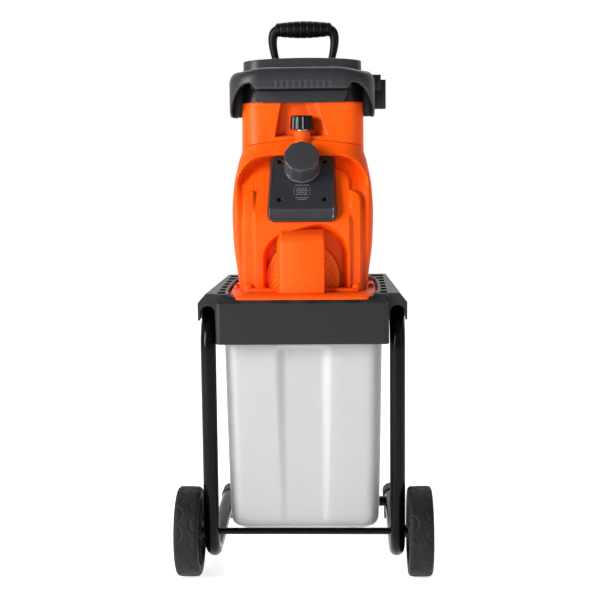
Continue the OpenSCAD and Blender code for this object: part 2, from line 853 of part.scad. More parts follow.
module hopper_chute() {
    color("#f2600c") difference() {
        union() {
            difference() {
                loft_shell(hopper_sections, wall);
                // recess round the locking knob
                block([-42, -100, seam_z - 1], [42, -40, 836]);
            }
            // walls of the recess
            difference() {
                block([-45, -68.5, seam_z + gap], [45, -37, 840]);
                block([-42, -100, seam_z + 8], [42, -40, 836]);
            }
            translate([0, lock_at, seam_z + gap]) cylinder(r = neck_r, h = lock_top - seam_z - gap);
            // floor round the funnel
            difference() {
                translate([0, 0, seam_z + gap]) linear_extrude(3) polygon(rounded(-107, 107, -66, 109, 34));
                block([-feed_x - 1, feed_y[0] - 1, 770], [feed_x + 1, feed_y[1] + 1, 790]);
            }
            mirrored() hopper_lug();
        }
        translate([0, lock_at, 700]) cylinder(r = 5 + run_fit, h = 200);
    }
}

// Lining that narrows from the rim down to the cutting chamber.
module feed_funnel() {
    color("#242427") loft_shell([
        [seam_z + gap, feed_x - 0.1, feed_y[0] + 0.1, feed_y[1] - 0.1, 10], [800, 76, -16, 105.5, 12],
        [842, 98, -33, 109, 20]
    ], 2.5);
}

collar_sections = [[842.1, 109, -62, 118, 34], [870, 107.5, -60, 126, 34], [rim_z, 106, -58, 134, 34]];
lip_sections = [[815, lip_x, -100, 146, 50], [866, lip_x, -108, 150, 55], [893, lip_x - 5, -105, 147, 60],
    [902, lip_x - 14, -96, 138, 60]];
lip_inner = [[814, lip_x - 4, -104, 142, 46], [866, lip_x - 4, -104, 146, 51],
    [892, lip_x - 9, -98, 142, 56]];
arch_z = 788;          // centre of the arches that open the lip behind and in front
arch_r = 80;

// Room for the chute below, and inside the collar's wall above.
module collar_core() {
    loft([[813, 110.3, -65.5, 118.5, 34], [841.9, 109.4, -62.4, 118.5, 34], [842.4, 107, -60, 116, 32],
        [870, 105.5, -58, 124, 32], [rim_z + 1, 104, -56, 132, 32]]);
}

// Rim: a collar round the mouth, and a wide lip that turns down at the sides as hand grips.
module hopper_rim() {
    color("#3b3b40") {
        loft_shell(collar_sections, 3.5);
        difference() {
            intersection() {
                loft(lip_sections);
                union() {
                    difference() {
                        block([-150, -150, 800], [150, 200, 903]);
                        loft(lip_inner);
                    }
                    // webs that stiffen the grips
                    for (y = [-18, 56]) block([-150, y - 1.5, 800], [150, y + 1.5, 900]);
                }
            }
            collar_core();
            rod([-100, arch_z], arch_r, -150, 150);
            rod([146, arch_z], arch_r, -150, 150);
        }
    }
}

guard_z = 862;
slot_x = 74;
slot_y = [0, 90];

// Plate inside the collar with the slot that branches and the push stick go through.
module feed_guard() {
    color("#2b2b2e") translate([0, 0, guard_z]) linear_extrude(4) difference() {
        polygon(rounded(-103.9, 103.9, -56.3, 119.9, 32));
        polygon(rounded(-slot_x, slot_x, slot_y[0], slot_y[1], 12));
    }
}

module push_stick_holder() {
    color("#303034") difference() {
        union() {
            block([lip_x + 0.1, -12, 862], [146, 22, 893]);
            block([135, -12, 829], [152, 22, 875]);
        }
        block([146.1, -20, 867], [148, 30, 880]);
        block([140, -5, 820], [148, 15, 860]);
    }
}

module hopper_hinge_pin() {
    color("#9a9ca0") rod(hinge_at, 4, -64, 64);
}

// ---------------------------------------------------------------- hopper lock

module lock_washer() {
    color("#9a9ca0") translate([0, lock_at, lock_top + gap]) difference() {
        cylinder(r = 11, h = 1.6);
        translate([0, 0, -1]) cylinder(r = 5 + run_fit, h = 5);
    }
}

knob_low = lock_top + gap + 1.9;

module lock_knob() {
    color("#141415") translate([0, lock_at, knob_low]) difference() {
        linear_extrude(25) difference() {
            circle(r = 21.5);
            for (a = [0:45:315]) rotate(a + 22.5) translate([24.5, 0]) circle(r = 5);
        }
        translate([0, 0, -1]) cylinder(r = 5, h = 16);
    }
}

module lock_screw() {
    color("#9a9ca0") translate([0, lock_at, seam_z - 7]) cylinder(r = 5, h = knob_low + 22 - seam_z);
}

// ---------------------------------------------------------------- push stick

stick_y = 67;
grip_low = grip_z - 32;

// Blade, cross bar and the two arms of the handle.
module push_stick() {
    color("#1a1a1b") {
        block([-54, stick_y - 9, 735], [54, stick_y + 9, guard_z + 10]);
        block([-82, stick_y - 6, guard_z + 4 + gap], [82, stick_y + 6, guard_z + 18]);
        mirrored() translate([0, stick_y + 7, 0]) rotate([90, 0, 0]) linear_extrude(14) polygon([
            [30, guard_z + 17], [46, guard_z + 17], [57, 925], [66, 962], [66, grip_low + 20],
            [60, grip_z - 3], [54, grip_z - 2], [54, grip_low + 4], [51, 950], [43, 925]
        ]);
    }
}

module push_stick_grip() {
    color("#101010") difference() {
        translate([0, stick_y, grip_low + 16]) rotate([0, 90, 0]) rotate_extrude($fn = 64)
            polygon([[0, -53.9], [13, -53.9], [15, -40], [16, 0], [15, 40], [13, 53.9], [0, 53.9]]);
        for (x = [-40:13.33:40])
            translate([x, stick_y, grip_low + 16]) rotate([0, 90, 0])
                rotate_extrude($fn = 64) translate([17.5, 0]) circle(r = 3.2);
    }
}

// ---------------------------------------------------------------- controls

panel_y = [128.5, 152];

// Switch box on the front, with the recessed mains inlet below.
module control_panel() {
    color("#303034") difference() {
        union() {
            block([-48, panel_y[0], 590], [48, panel_y[1], 700]);
            block([-30, panel_y[0], 548], [30, 162, 590]);
        }
        block([-45, 120, 593], [45, panel_y[1] - 3, 697]);
        block([-24, 140, 554], [24, 170, 584]);
        for (p = button_at) translate([p[0], 140, p[1]]) rotate([-90, 0, 0]) cylinder(r = p[2] + gap, h = 20);
        translate([dial_at[0], 140, dial_at[1]]) rotate([-90, 0, 0]) cylinder(r = 5 + gap, h = 20);
    }
}

button_at = [[-22, 672, 11], [22, 672, 11], [-22, 620, 6]];
dial_at = [18, 622];
button_proud = 5;

// A round push button through the panel's face.
module push_button(i) {
    translate([button_at[i][0], panel_y[1] - 8, button_at[i][1]]) rotate([-90, 0, 0])
        cylinder(r = button_at[i][2], h = 8 + button_proud);
}

module start_button() { color("#2f8f3a") push_button(0); }
module stop_button() { color("#c02020") push_button(1); }
module reset_button() { color("#1c1c1e") push_button(2); }

module direction_switch() {
    color("#1c1c1e") translate([dial_at[0], panel_y[1] + gap, dial_at[1]]) rotate([-90, 0, 0]) {
        cylinder(r = 14, h = 5);
        translate([-4, -13, 5]) cube([8, 26, 9]);
        translate([0, 0, -10]) cylinder(r = 5, h = 10);
    }
}

// ---------------------------------------------------------------- bin

bin_sections = [
    [90, 118, -130, 176, 24], [96, 126, -138, 183, 24], [106, 131, -142, 187, 24],
    [484, 138, -150, 195, 26], [488, 138, -150, 195, 26]
];
bin_floor = 94;
groove_top = 411;      // upper end of the groove in the bin's wheel side

// Vertical groove with sloping flanks down the bin's wheel side, grown by t.
module bin_groove(t) {
    translate([0, 0, 60]) linear_extrude(groove_top - 60 + t)
        polygon([
            [-58 - t, -170], [-50 - t, -150], [-31 - t, -134 + t],
            [31 + t, -134 + t], [50 + t, -150], [58 + t, -170]
        ]);
}

module bin() {
    color("#e9e9ee") difference() {
        union() {
            difference() {
                loft(bin_sections);
                bin_groove(0);
            }
            translate([0, 0, 484]) linear_extrude(4) polygon(rounded(-146, 146, -158, 204, 30));
        }
        difference() {
            loft([[bin_floor, 122, -132, 178, 20], [106, 128, -139, 184, 21], [490, 135, -147, 192, 23]]);
            bin_groove(3);
        }
        // slot for the safety slider
        block([-13, 195.8, 480], [13, 201.8, 495]);
    }
}

// ---------------------------------------------------------------- draw

left_frame_tube();
right_frame_tube();
front_cross_tube();
feet();
tube_end_plugs();
axle();
axle_spacers();
frame_bolts();
left_wheel();
left_hub_cap();
right_wheel();
right_hub_cap();
platform();
bin_lock_bracket();
bin_lock_slider();
base_seal();
base_plate();
main_housing();
rear_cover();
motor_vent_grille();
rear_duct_cover();
housing_screws();
console();
adjuster_bush();
adjusting_knob();
adjusting_screw();
counter_plate();
cutting_chamber();
drum_bearings();
cutting_drum();
drum_shaft();
drum_gear();
discharge_chute();
gearbox_housing();
gearbox_cover();
intermediate_pinion_shaft();
intermediate_gear();
motor_stator();
motor_end_shields();
motor_rotor();
motor_pinion();
motor_fan();
motor_capacitor();
hopper_chute();
feed_funnel();
hopper_rim();
feed_guard();
push_stick_holder();
hopper_hinge_pin();
lock_washer();
lock_knob();
lock_screw();
push_stick();
push_stick_grip();
control_panel();
start_button();
stop_button();
reset_button();
direction_switch();
bin();
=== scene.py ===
"""Looks of a quiet electric garden shredder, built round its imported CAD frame.

Shapes are written in millimetres in the CAD's own frame and turned to metres when a mesh is made: X to the
right, Y away from the wheels, Z up. "Near" is the wheel side, where Y is lowest, and "far" is the other side.
The camera, the lights, the studio and the materials' scales are in metres.
"""
import json
import math

import bmesh
import bpy
from mathutils import Matrix, Vector


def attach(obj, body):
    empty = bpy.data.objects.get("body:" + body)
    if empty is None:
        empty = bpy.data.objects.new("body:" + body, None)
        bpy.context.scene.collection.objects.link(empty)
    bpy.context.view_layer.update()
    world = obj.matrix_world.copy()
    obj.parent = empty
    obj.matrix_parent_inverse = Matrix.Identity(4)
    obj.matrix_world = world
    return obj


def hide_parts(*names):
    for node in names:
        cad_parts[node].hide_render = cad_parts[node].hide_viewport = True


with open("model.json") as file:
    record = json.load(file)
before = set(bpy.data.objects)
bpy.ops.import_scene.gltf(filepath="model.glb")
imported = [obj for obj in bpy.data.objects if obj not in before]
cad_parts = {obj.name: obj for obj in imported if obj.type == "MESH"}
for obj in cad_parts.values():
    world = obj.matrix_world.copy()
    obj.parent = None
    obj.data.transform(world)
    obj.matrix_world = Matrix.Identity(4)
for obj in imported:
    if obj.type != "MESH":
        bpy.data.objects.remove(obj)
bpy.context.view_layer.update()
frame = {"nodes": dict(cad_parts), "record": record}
NODES = frame["nodes"]
MM = 0.001

# Places that several pieces share.
DECK_Z = 508.8                  # foot of what stands on the orange base
ADJUSTER = (-84.0, 725.0)       # (y, z) of the adjusting knob's foot
ADJUSTER_TILT = math.radians(33.4)
SLOPE_X, SLOPE_Z = 0.5505, 0.8348   # sine and cosine of that tilt
LOCK_Y = -70.0                  # the locking screw's axis
HINGE = (121, 784)              # (y, z) of the hopper's hinge


def add_node(tree, kind, sockets, **settings):
    """Adds a node; sockets maps each input to its value, or to the output that feeds it."""
    node = tree.nodes.new(kind)
    for key, value in settings.items():
        setattr(node, key, value)
    for key, value in sockets.items():
        if isinstance(value, bpy.types.NodeSocket):
            tree.links.new(value, node.inputs[key])
        else:
            node.inputs[key].default_value = value
    return node


# ---- camera, floor and light

def new_object(name, data):
    obj = bpy.data.objects.new(name, data)
    bpy.context.scene.collection.objects.link(obj)
    return obj


def place_camera():
    """A long lens from the wheel side, a little right of the middle and looking slightly down."""
    eye = Vector((0.075, -2.380, 0.783))
    pitch, yaw, roll = math.radians(7.3), math.radians(2.03), math.radians(0.6)
    ahead = Vector((-math.sin(yaw) * math.cos(pitch), math.cos(yaw) * math.cos(pitch), -math.sin(pitch)))
    turn = ahead.to_track_quat("-Z", "Y").to_matrix() @ Matrix.Rotation(-roll, 3, "Z")
    data = bpy.data.cameras.new("camera")
    data.sensor_width = 36.0
    data.lens = 77.1
    data.clip_end = 30.0
    camera = new_object("camera", data)
    camera.matrix_world = Matrix.Translation(eye) @ turn.to_4x4()
    bpy.context.scene.camera = camera


def area_light(name, place, target, size, power):
    """A white panel at a place, turned to its target."""
    data = bpy.data.lights.new(name, "AREA")
    data.shape = "RECTANGLE"
    data.size, data.size_y = size
    data.energy = power
    aim = (Vector(target) - Vector(place)).to_track_quat("-Z", "Y")
    new_object(name, data).matrix_world = Matrix.Translation(place) @ aim.to_matrix().to_4x4()


def studio():
    """A pale floor, three soft lights, and surroundings that are white to look at and lit from behind."""
    reach = 40.0    # metres, so that the floor's edge is out of every view
    mesh = bpy.data.meshes.new("studio_floor")
    corners = [(-reach, -reach, 0), (reach, -reach, 0), (reach, reach, 0), (-reach, reach, 0)]
    mesh.from_pydata(corners, [], [(0, 1, 2, 3)])
    paper = Shader(
        "studio_paper", 0.9, Base_Color=(0.90, 0.90, 0.90, 1), Specular_IOR_Level=0.1,
        Emission_Color=(1, 1, 1, 1), Emission_Strength=0.74,
    )
    mesh.materials.append(paper.mat)
    new_object("studio_floor", mesh)
    world = bpy.data.worlds.new("studio_air")
    world.use_nodes = True
    tree = world.node_tree
    # light falls from the far side, and less and less towards the wheel side
    around = add_node(tree, "ShaderNodeTexCoord", {}).outputs["Generated"]
    far = add_node(tree, "ShaderNodeSeparateXYZ", {"Vector": around}).outputs["Y"]
    glow = {"From Min": 0.0, "From Max": 0.9, "To Min": 0.16, "To Max": 0.90, "Value": far}
    # what is seen past the floor is plain white
    seen = add_node(tree, "ShaderNodeLightPath", {}).outputs["Is Camera Ray"]
    lit = add_node(tree, "ShaderNodeMapRange", glow).outputs["Result"]
    backdrop = {"To Min": lit, "To Max": 1.0, "Value": seen}
    strength = add_node(tree, "ShaderNodeMapRange", backdrop).outputs["Result"]
    tree.links.new(strength, tree.nodes["Background"].inputs["Strength"])
    tree.nodes["Background"].inputs["Color"].default_value = (1, 1, 1, 1)
    bpy.context.scene.world = world
    area_light("key_light", (-2.4, -2.1, 1.5), (0, -0.05, 0.62), (1.1, 1.7), 138)
    area_light("fill_light", (2.4, -1.6, 1.4), (0, 0, 0.55), (1.4, 1.8), 7)
    area_light("back_light", (0.1, 1.9, 2.6), (0, 0, 0.6), (2.6, 1.0), 24)
    bpy.context.scene.view_settings.view_transform = "Standard"


# ---- materials

# Depth of a moulding's grain, in metres.
TEXTURED, PLAIN, SMOOTH, POLISHED = 0.00005, 0.00003, 0.00001, 0.000004


class Shader:
    """A principled material whose nodes are added one after another."""

    def __init__(self, name, roughness, metallic=0.0, **sockets):
        self.mat = bpy.data.materials.new(name)
        self.mat.use_nodes = True
        self.bsdf = self.mat.node_tree.nodes["Principled BSDF"].inputs
        self.bsdf["Roughness"].default_value = roughness
        self.bsdf["Metallic"].default_value = metallic
        for socket, value in sockets.items():
            self.bsdf[socket.replace("_", " ")].default_value = value
        self.coords = self.add("ShaderNodeTexCoord", {}, "Object")
        self.height = None

    def add(self, kind, sockets, out=0, **settings):
        """Adds a node and returns its output."""
        return add_node(self.mat.node_tree, kind, sockets, **settings).outputs[out]

    def noise(self, scale, detail=3.0, rough=0.5, stretch=None):
        at = self.coords
        if stretch:
            at = self.add("ShaderNodeMapping", {"Scale": stretch, "Vector": at})
        sockets = {"Scale": scale, "Detail": detail, "Roughness": rough, "Vector": at}
        return self.add("ShaderNodeTexNoise", sockets, "Fac")

    def cells(self, scale):
        return self.add("ShaderNodeTexVoronoi", {"Scale": scale, "Vector": self.coords}, "Distance")

    def ramp(self, fac, low, high):
        """Turns low..high of fac into 0..1."""
        return self.add("ShaderNodeMapRange", {"From Min": low, "From Max": high, "Value": fac})

    def span(self, fac, low, high):
        """Turns 0..1 of fac into low..high."""
        return self.add("ShaderNodeMapRange", {"To Min": low, "To Max": high, "Value": fac})

    def times(self, a, b):
        return self.add("ShaderNodeMath", {0: a, 1: b}, operation="MULTIPLY")

    def plus(self, a, b):
        return self.add("ShaderNodeMath", {0: a, 1: b}, operation="ADD")

    def mix(self, fac, a, b):
        """Colour a to b by fac."""
        a, b = (c + (1,) if isinstance(c, tuple) else c for c in (a, b))
        return self.add("ShaderNodeMix", {6: a, 7: b, 0: fac}, 2, data_type="RGBA")

    def upward(self):
        """1 where the surface faces up, 0 on its sides and below."""
        normal = self.add("ShaderNodeNewGeometry", {}, "Normal")
        return self.ramp(self.add("ShaderNodeSeparateXYZ", {"Vector": normal}, "Z"), 0.55, 0.95)

    def edges(self, radius):
        """1 along sharp edges: where a rounded normal leaves the true one."""
        rounded = self.add("ShaderNodeBevel", {"Radius": radius}, samples=4)
        normal = self.add("ShaderNodeNewGeometry", {}, "Normal")
        dot = self.add("ShaderNodeVectorMath", {0: rounded, 1: normal}, "Value", operation="DOT_PRODUCT")
        return self.ramp(dot, 0.985, 0.86)

    def bump(self, height, depth):
        """Adds a relief of the given depth, in metres, on top of those before it."""
        sockets = {"Distance": depth, "Strength": 1.0, "Height": height}
        if self.height is not None:
            sockets["Normal"] = self.height
        self.height = self.add("ShaderNodeBump", sockets)
        self.feed("Normal", self.height)

    def feed(self, socket, out):
        self.mat.node_tree.links.new(out, self.bsdf[socket])

    def paint(self, colour, roughness):
        self.feed("Base Color", colour)
        self.feed("Roughness", roughness)


def moulded(name, colour, rough, grain=PLAIN, dust=0.10, worn=None, spec=0.5):
    """Moulded plastic: spark-eroded grain, slow colour drift, scuffs, dust on top, paler worn edges."""
    s = Shader(name, rough, Specular_IOR_Level=spec)
    tone = s.mix(s.ramp(s.noise(7.0, 4.0), 0.3, 0.7), tuple(c * 0.90 for c in colour), colour)
    scuffs = s.ramp(s.noise(90.0, 6.0, 0.62, (1.0, 1.0, 0.16)), 0.60, 0.74)
    if worn:
        wear = s.times(s.edges(0.0016), s.ramp(s.noise(60.0, 4.0), 0.42, 0.66))
        tone = s.mix(s.times(wear, 0.55), tone, worn)
    if dust:
        settled = s.times(s.upward(), s.ramp(s.noise(35.0, 5.0), 0.35, 0.75))
        tone = s.mix(s.times(settled, dust), tone, (0.55, 0.52, 0.47))
    sheen = s.span(s.noise(16.0, 5.0), rough - 0.05, rough + 0.06)
    s.paint(tone, s.plus(sheen, s.times(scuffs, 0.07)))
    s.bump(s.cells(1400.0), grain)
    s.bump(s.noise(28.0, 2.0), 0.00012)
    return s.mat


def speckled(name):
    """Feet: dark rubber with pale flecks."""
    s = Shader(name, 0.75)
    flecks = s.ramp(s.cells(260.0), 0.30, 0.18)
    patchy = s.ramp(s.noise(120.0, 4.0), 0.45, 0.6)
    tone = s.mix(s.times(flecks, patchy), (0.022, 0.022, 0.024), (0.16, 0.16, 0.17))
    s.paint(tone, s.span(s.noise(200.0), 0.62, 0.85))
    s.bump(s.noise(500.0, 4.0), 0.00015)
    return s.mat


def powder_coat(name):
    """Satin black powder coat with orange peel and a few scuffs."""
    s = Shader(name, 0.3, Specular_IOR_Level=0.12)
    scuffs = s.ramp(s.noise(130.0, 6.0, 0.6, (1.0, 1.0, 0.3)), 0.62, 0.72)
    tone = s.mix(s.times(scuffs, 0.25), (0.0022, 0.0022, 0.0025), (0.02, 0.02, 0.021))
    s.paint(tone, s.plus(s.span(s.noise(18.0, 4.0), 0.16, 0.24), s.times(scuffs, 0.15)))
    s.bump(s.noise(420.0, 2.0), 0.00006)
    return s.mat


def tyre_rubber(name):
    s = Shader(name, 0.62, Specular_IOR_Level=0.25)
    dusty = s.ramp(s.noise(55.0, 6.0, 0.6), 0.42, 0.7)
    tone = s.mix(s.times(dusty, 0.5), (0.007, 0.007, 0.008), (0.019, 0.0185, 0.018))
    s.paint(tone, s.span(s.noise(90.0, 4.0), 0.52, 0.74))
    s.bump(s.noise(900.0, 3.0), 0.00008)
    return s.mat


def machined(name, colour, rough):
    """Bright metal with turning marks."""
    s = Shader(name, rough, 1.0)
    marks = s.noise(700.0, 4.0, 0.6, (0.05, 1.0, 1.0))
    tone = s.mix(s.ramp(s.noise(40.0, 4.0), 0.3, 0.7), colour, tuple(min(1.0, c * 1.25) for c in colour))
    s.paint(tone, s.span(marks, rough - 0.08, rough + 0.14))
    s.bump(marks, 0.00004)
    return s.mat


def cast(name, colour, metallic, rough):
    s = Shader(name, rough, metallic)
    tone = s.mix(s.ramp(s.noise(30.0, 5.0), 0.3, 0.7), colour, tuple(min(1.0, c * 1.2) for c in colour))
    s.paint(tone, s.span(s.noise(60.0, 4.0), rough - 0.1, rough + 0.1))
    s.bump(s.noise(350.0, 5.0, 0.6), 0.0002)
    return s.mat


def windings(name):
    s = Shader(name, 0.35, 0.8)
    turns = s.noise(500.0, 2.0, 0.5, (0.02, 1.0, 1.0))
    s.feed("Base Color", s.mix(s.ramp(turns, 0.35, 0.65), (0.20, 0.07, 0.02), (0.62, 0.27, 0.09)))
    s.bump(turns, 0.0004)
    return s.mat


def translucent_bin(name):
    """Natural polypropylene: milky, lets light through, with faint flow marks and wear."""
    s = Shader(
        name, 0.42, Subsurface_Weight=0.55, Subsurface_Radius=(0.030, 0.029, 0.034),
        Subsurface_Scale=1.0, Transmission_Weight=0.16, IOR=1.46,
    )
    flow = s.ramp(s.noise(5.0, 4.0, 0.6, (1.0, 1.0, 0.35)), 0.3, 0.7)
    tone = s.mix(flow, (0.60, 0.595, 0.63), (0.66, 0.66, 0.69))
    dust = s.ramp(s.noise(60.0, 6.0, 0.65), 0.58, 0.8)
    tone = s.mix(s.times(dust, 0.10), tone, (0.62, 0.59, 0.54))
    s.paint(tone, s.span(s.noise(22.0, 5.0), 0.36, 0.5))
    s.bump(s.cells(900.0), 0.00003)
    s.bump(s.noise(9.0, 2.0), 0.0006)
    return s.mat


SLOT_LOOK = {
    "orange": moulded(
        "orange_abs", (0.88, 0.087, 0.0012), 0.42, dust=0.03, worn=(0.94, 0.27, 0.06), spec=0.16,
    ),
    "grey": moulded(
        "grey_textured_plastic", (0.0205, 0.0205, 0.0248), 0.42, TEXTURED, worn=(0.10, 0.10, 0.11), spec=0.38,
    ),
    "black_plastic": moulded(
        "black_plastic", (0.0045, 0.0045, 0.0052), 0.38, dust=0.02, worn=(0.035, 0.035, 0.036), spec=0.3,
    ),
    "gloss_black": moulded("gloss_black", (0.003, 0.003, 0.0035), 0.25, POLISHED, dust=0.02, spec=0.24),
    "pale_plastic": moulded("pale_plastic", (0.50, 0.50, 0.52), 0.45),
    "green": moulded("green_button", (0.02, 0.30, 0.05), 0.28),
    "red": moulded("red_button", (0.60, 0.015, 0.012), 0.28),
    "bin_plastic": translucent_bin("bin_polypropylene"),
    "tyre": tyre_rubber("tyre_rubber"),
    "foot_rubber": speckled("foot_rubber"),
    "black_tube": powder_coat("tube_powder_coat"),
    "steel": machined("machined_steel", (0.52, 0.53, 0.55), 0.30),
    "brass": machined("turned_brass", (0.66, 0.47, 0.20), 0.28),
    "cast": cast("primed_steel", (0.17, 0.18, 0.19), 0.2, 0.5),
    "alloy": cast("die_cast_alloy", (0.55, 0.56, 0.58), 0.9, 0.42),
    "copper": windings("motor_windings"),
}

# Looks of single pieces that differ from their slot's.
# paler orange than the housing's: painted light that lifts the vent grille out of its alcove's shade
VENT_PAINTED_LIGHT = moulded("vent_orange_painted_light", (0.93, 0.135, 0.005), 0.42, dust=0.03, spec=0.16)
# paler copy of the rim's grey for the collar: painted highlight
COLLAR_PAINTED_HIGHLIGHT = moulded(
    "collar_grey_painted_highlight", (0.031, 0.030, 0.035), 0.42, TEXTURED, worn=(0.11, 0.11, 0.12), spec=0.38,
)
DEEP = moulded(
    "deep_grey_plastic", (0.0085, 0.0085, 0.0108), 0.42, TEXTURED, worn=(0.09, 0.09, 0.10), spec=0.34,
)
KNOB_GREY = moulded("knob_grey_plastic", (0.033, 0.032, 0.038), 0.34, SMOOTH, worn=(0.12, 0.12, 0.13))
SATIN = moulded("satin_grey_plastic", (0.0205, 0.0205, 0.0250), 0.30, SMOOTH, worn=(0.10, 0.10, 0.11))
# pale grey for the deck's raised lip: painted highlight along its edge
DECK_LIP_PAINTED_HIGHLIGHT = moulded("grey_lip_painted_highlight", (0.16, 0.16, 0.17), 0.4)
HANDLE = moulded("handle_black", (0.0022, 0.0022, 0.0025), 0.45, dust=0.02, spec=0.16)
PRINT = moulded("grey_print", (0.15, 0.15, 0.155), 0.5)
ZINC = machined("black_zinc", (0.11, 0.11, 0.115), 0.42)

# CAD nodes that keep their mesh and differ from their slot's usual look.
NODE_LOOK = {"platform": DEEP, "frame_bolts": ZINC}


# ---- mesh tools

def lerp(a, b, t):
    return a + (b - a) * t


def smooth(t):
    """0 below 0, 1 above 1, and an S between."""
    t = max(0.0, min(1.0, t))
    return t * t * (3 - 2 * t)


def rise(t):
    """A quarter circle from 0, steep at first, to 1."""
    t = max(0.0, min(1.0, t))
    return math.sqrt(1 - (1 - t) ** 2)


def along(table, z):
    """Smooth values at z through rows of [z, value, ...]."""
    rows = sorted(table)
    if z <= rows[0][0]:
        return rows[0][1:]
    if z >= rows[-1][0]:
        return rows[-1][1:]
    i = max(k for k in range(len(rows) - 1) if rows[k][0] <= z)
    a, b = rows[i], rows[i + 1]
    before, after = rows[max(i - 1, 0)], rows[min(i + 2, len(rows) - 1)]
    h = b[0] - a[0]
    t = (z - a[0]) / h
    out = []
    for k in range(1, len(a)):
        slope_a = (b[k] - before[k]) / (b[0] - before[0]) * h
        slope_b = (after[k] - a[k]) / (after[0] - a[0]) * h
        out.append(
            a[k] * (1 + 2 * t) * (1 - t) ** 2 + slope_a * t * (1 - t) ** 2
            + b[k] * t * t * (3 - 2 * t) - slope_b * t * t * (1 - t)
        )
    return out


def rounded_distance(u, v, centre, half, r):
    """Signed distance to a rounded rectangle, below 0 inside."""
    a = abs(u - centre[0]) - half[0] + r
    b = abs(v - centre[1]) - half[1] + r
    return math.hypot(max(a, 0), max(b, 0)) + min(max(a, b), 0) - r


def ring(half, y0, y1, r, arc=8, sides=1, fronts=1):
    """Points (x, y) round a rectangle -half..half by y0..y1 with corners of radius r.

    Each corner has arc steps, each straight run along Y has sides steps, and each run along X has fronts.
    """
    points = []
    corners = [(half - r, y1 - r, 0), (r - half, y1 - r, 90), (r - half, y0 + r, 180),
               (half - r, y0 + r, 270)]
    counts = [fronts, sides, fronts, sides]
    for k, (cx, cy, start) in enumerate(corners):
        turn = [math.radians(start + 90 * i / arc) for i in range(arc + 1)]
        points += [(cx + r * math.cos(a), cy + r * math.sin(a)) for a in turn]
        nx, ny, nstart = corners[(k + 1) % 4]
        a = math.radians(nstart)
        ahead = (nx + r * math.cos(a), ny + r * math.sin(a))
        here = points[-1]
        n = counts[k]
        points += [(lerp(here[0], ahead[0], i / n), lerp(here[1], ahead[1], i / n)) for i in range(1, n)]
    return points


def circle(n):
    """n even headings round a circle, in radians."""
    return [2 * math.pi * i / n for i in range(n)]


def evenly(start, step, count):
    return [start + step * k for k in range(count)]


def at_height(points, z):
    return [(x, y, z) for x, y in points]


def across(side, near, far):
    """Lowest and highest X of a span near..far from the middle, on the right (1) or the left (-1)."""
    return sorted((side * near, side * far))


class Build:
    """Gathers closed shapes, in millimetres, into one mesh."""

    def __init__(self):
        self.bm = bmesh.new()

    def add(self, verts, faces):
        made = [self.bm.verts.new(v) for v in verts]
        for face in faces:
            self.bm.faces.new([made[i] for i in face])
        return made

    def loft(self, rings, caps=True, closed=False):
        n, m = len(rings[0]), len(rings)
        faces = []
        for j in range(m if closed else m - 1):
            a, b = j * n, (j + 1) % m * n
            faces += [(a + i, a + (i + 1) % n, b + (i + 1) % n, b + i) for i in range(n)]
        if caps and not closed:
            faces += [tuple(reversed(range(n))), tuple(range((m - 1) * n, m * n))]
        return self.add([p for r in rings for p in r], faces)

    def revolve(self, profile, centre, steps, wobble=None, closed=True):
        """Turns (radius, x) points about an X axis through centre = (y, z)."""
        rings = []
        for a in circle(steps):
            row = []
            for r, x in profile:
                r += wobble(r, x, a) if wobble else 0
                row.append((x, centre[0] + r * math.cos(a), centre[1] + r * math.sin(a)))
            rings.append(row)
        n, m = len(profile), steps
        faces = []
        for j in range(m):
            a, b = j * n, (j + 1) % m * n
            last = n if closed else n - 1
            faces += [(a + i, b + i, b + (i + 1) % n, a + (i + 1) % n) for i in range(last)]
        return self.add([p for r in rings for p in r], faces)

    def box(self, low, high, r=0.0, segments=3, turn=None):
        centre = [(a + b) / 2 for a, b in zip(low, high)]
        size = [b - a for a, b in zip(low, high)]
        matrix = Matrix.Translation(centre) @ Matrix.Diagonal(size + [1.0])
        made = bmesh.ops.create_cube(self.bm, size=1.0, matrix=matrix)["verts"]
        if r:
            edges = list(dict.fromkeys(e for v in made for e in v.link_edges))
            out = bmesh.ops.bevel(
                self.bm, geom=edges, offset=r, segments=segments, profile=0.5, affect="EDGES",
            )
            made = list(dict.fromkeys(out["verts"] + [v for v in made if v.is_valid]))
        if turn is not None:
            bmesh.ops.transform(self.bm, matrix=turn, verts=made)
        return made

    def tube(self, path, radius, steps):
        """A round bar along a path of points; radius may be a function of 0..1 along it."""
        path = [Vector(p) for p in path]
        rings = []
        tangent = (path[1] - path[0]).normalized()
        side = tangent.orthogonal().normalized()
        for i, p in enumerate(path):
            ahead = path[min(i + 1, len(path) - 1)] - path[max(i - 1, 0)]
            new = ahead.normalized()
            side = (tangent.rotation_difference(new) @ side).normalized()
            tangent = new
            up = tangent.cross(side)
            r = radius(i / (len(path) - 1)) if callable(radius) else radius
            rings.append([tuple(p + (side * math.cos(a) + up * math.sin(a)) * r) for a in circle(steps)])
        return self.loft(rings)

    def piece(self, name, sharp=34, matrix=None):
        """Ends the gathering and returns the object."""
        bm = self.bm
        if matrix is not None:
            bmesh.ops.transform(bm, matrix=matrix, verts=bm.verts)
        bmesh.ops.scale(bm, vec=(MM, MM, MM), verts=bm.verts)
        bmesh.ops.remove_doubles(bm, verts=bm.verts, dist=1e-7)
        bmesh.ops.recalc_face_normals(bm, faces=bm.faces)
        mesh = bpy.data.meshes.new(name)
        bm.to_mesh(mesh)
        bm.free()
        mesh.shade_smooth()
        mesh.set_sharp_from_angle(angle=math.radians(sharp))
        return new_object(name, mesh)


def block(name, low, high):
    """A plain box, to cut with."""
    b = Build()
    b.box(low, high)
    return b.piece(name)


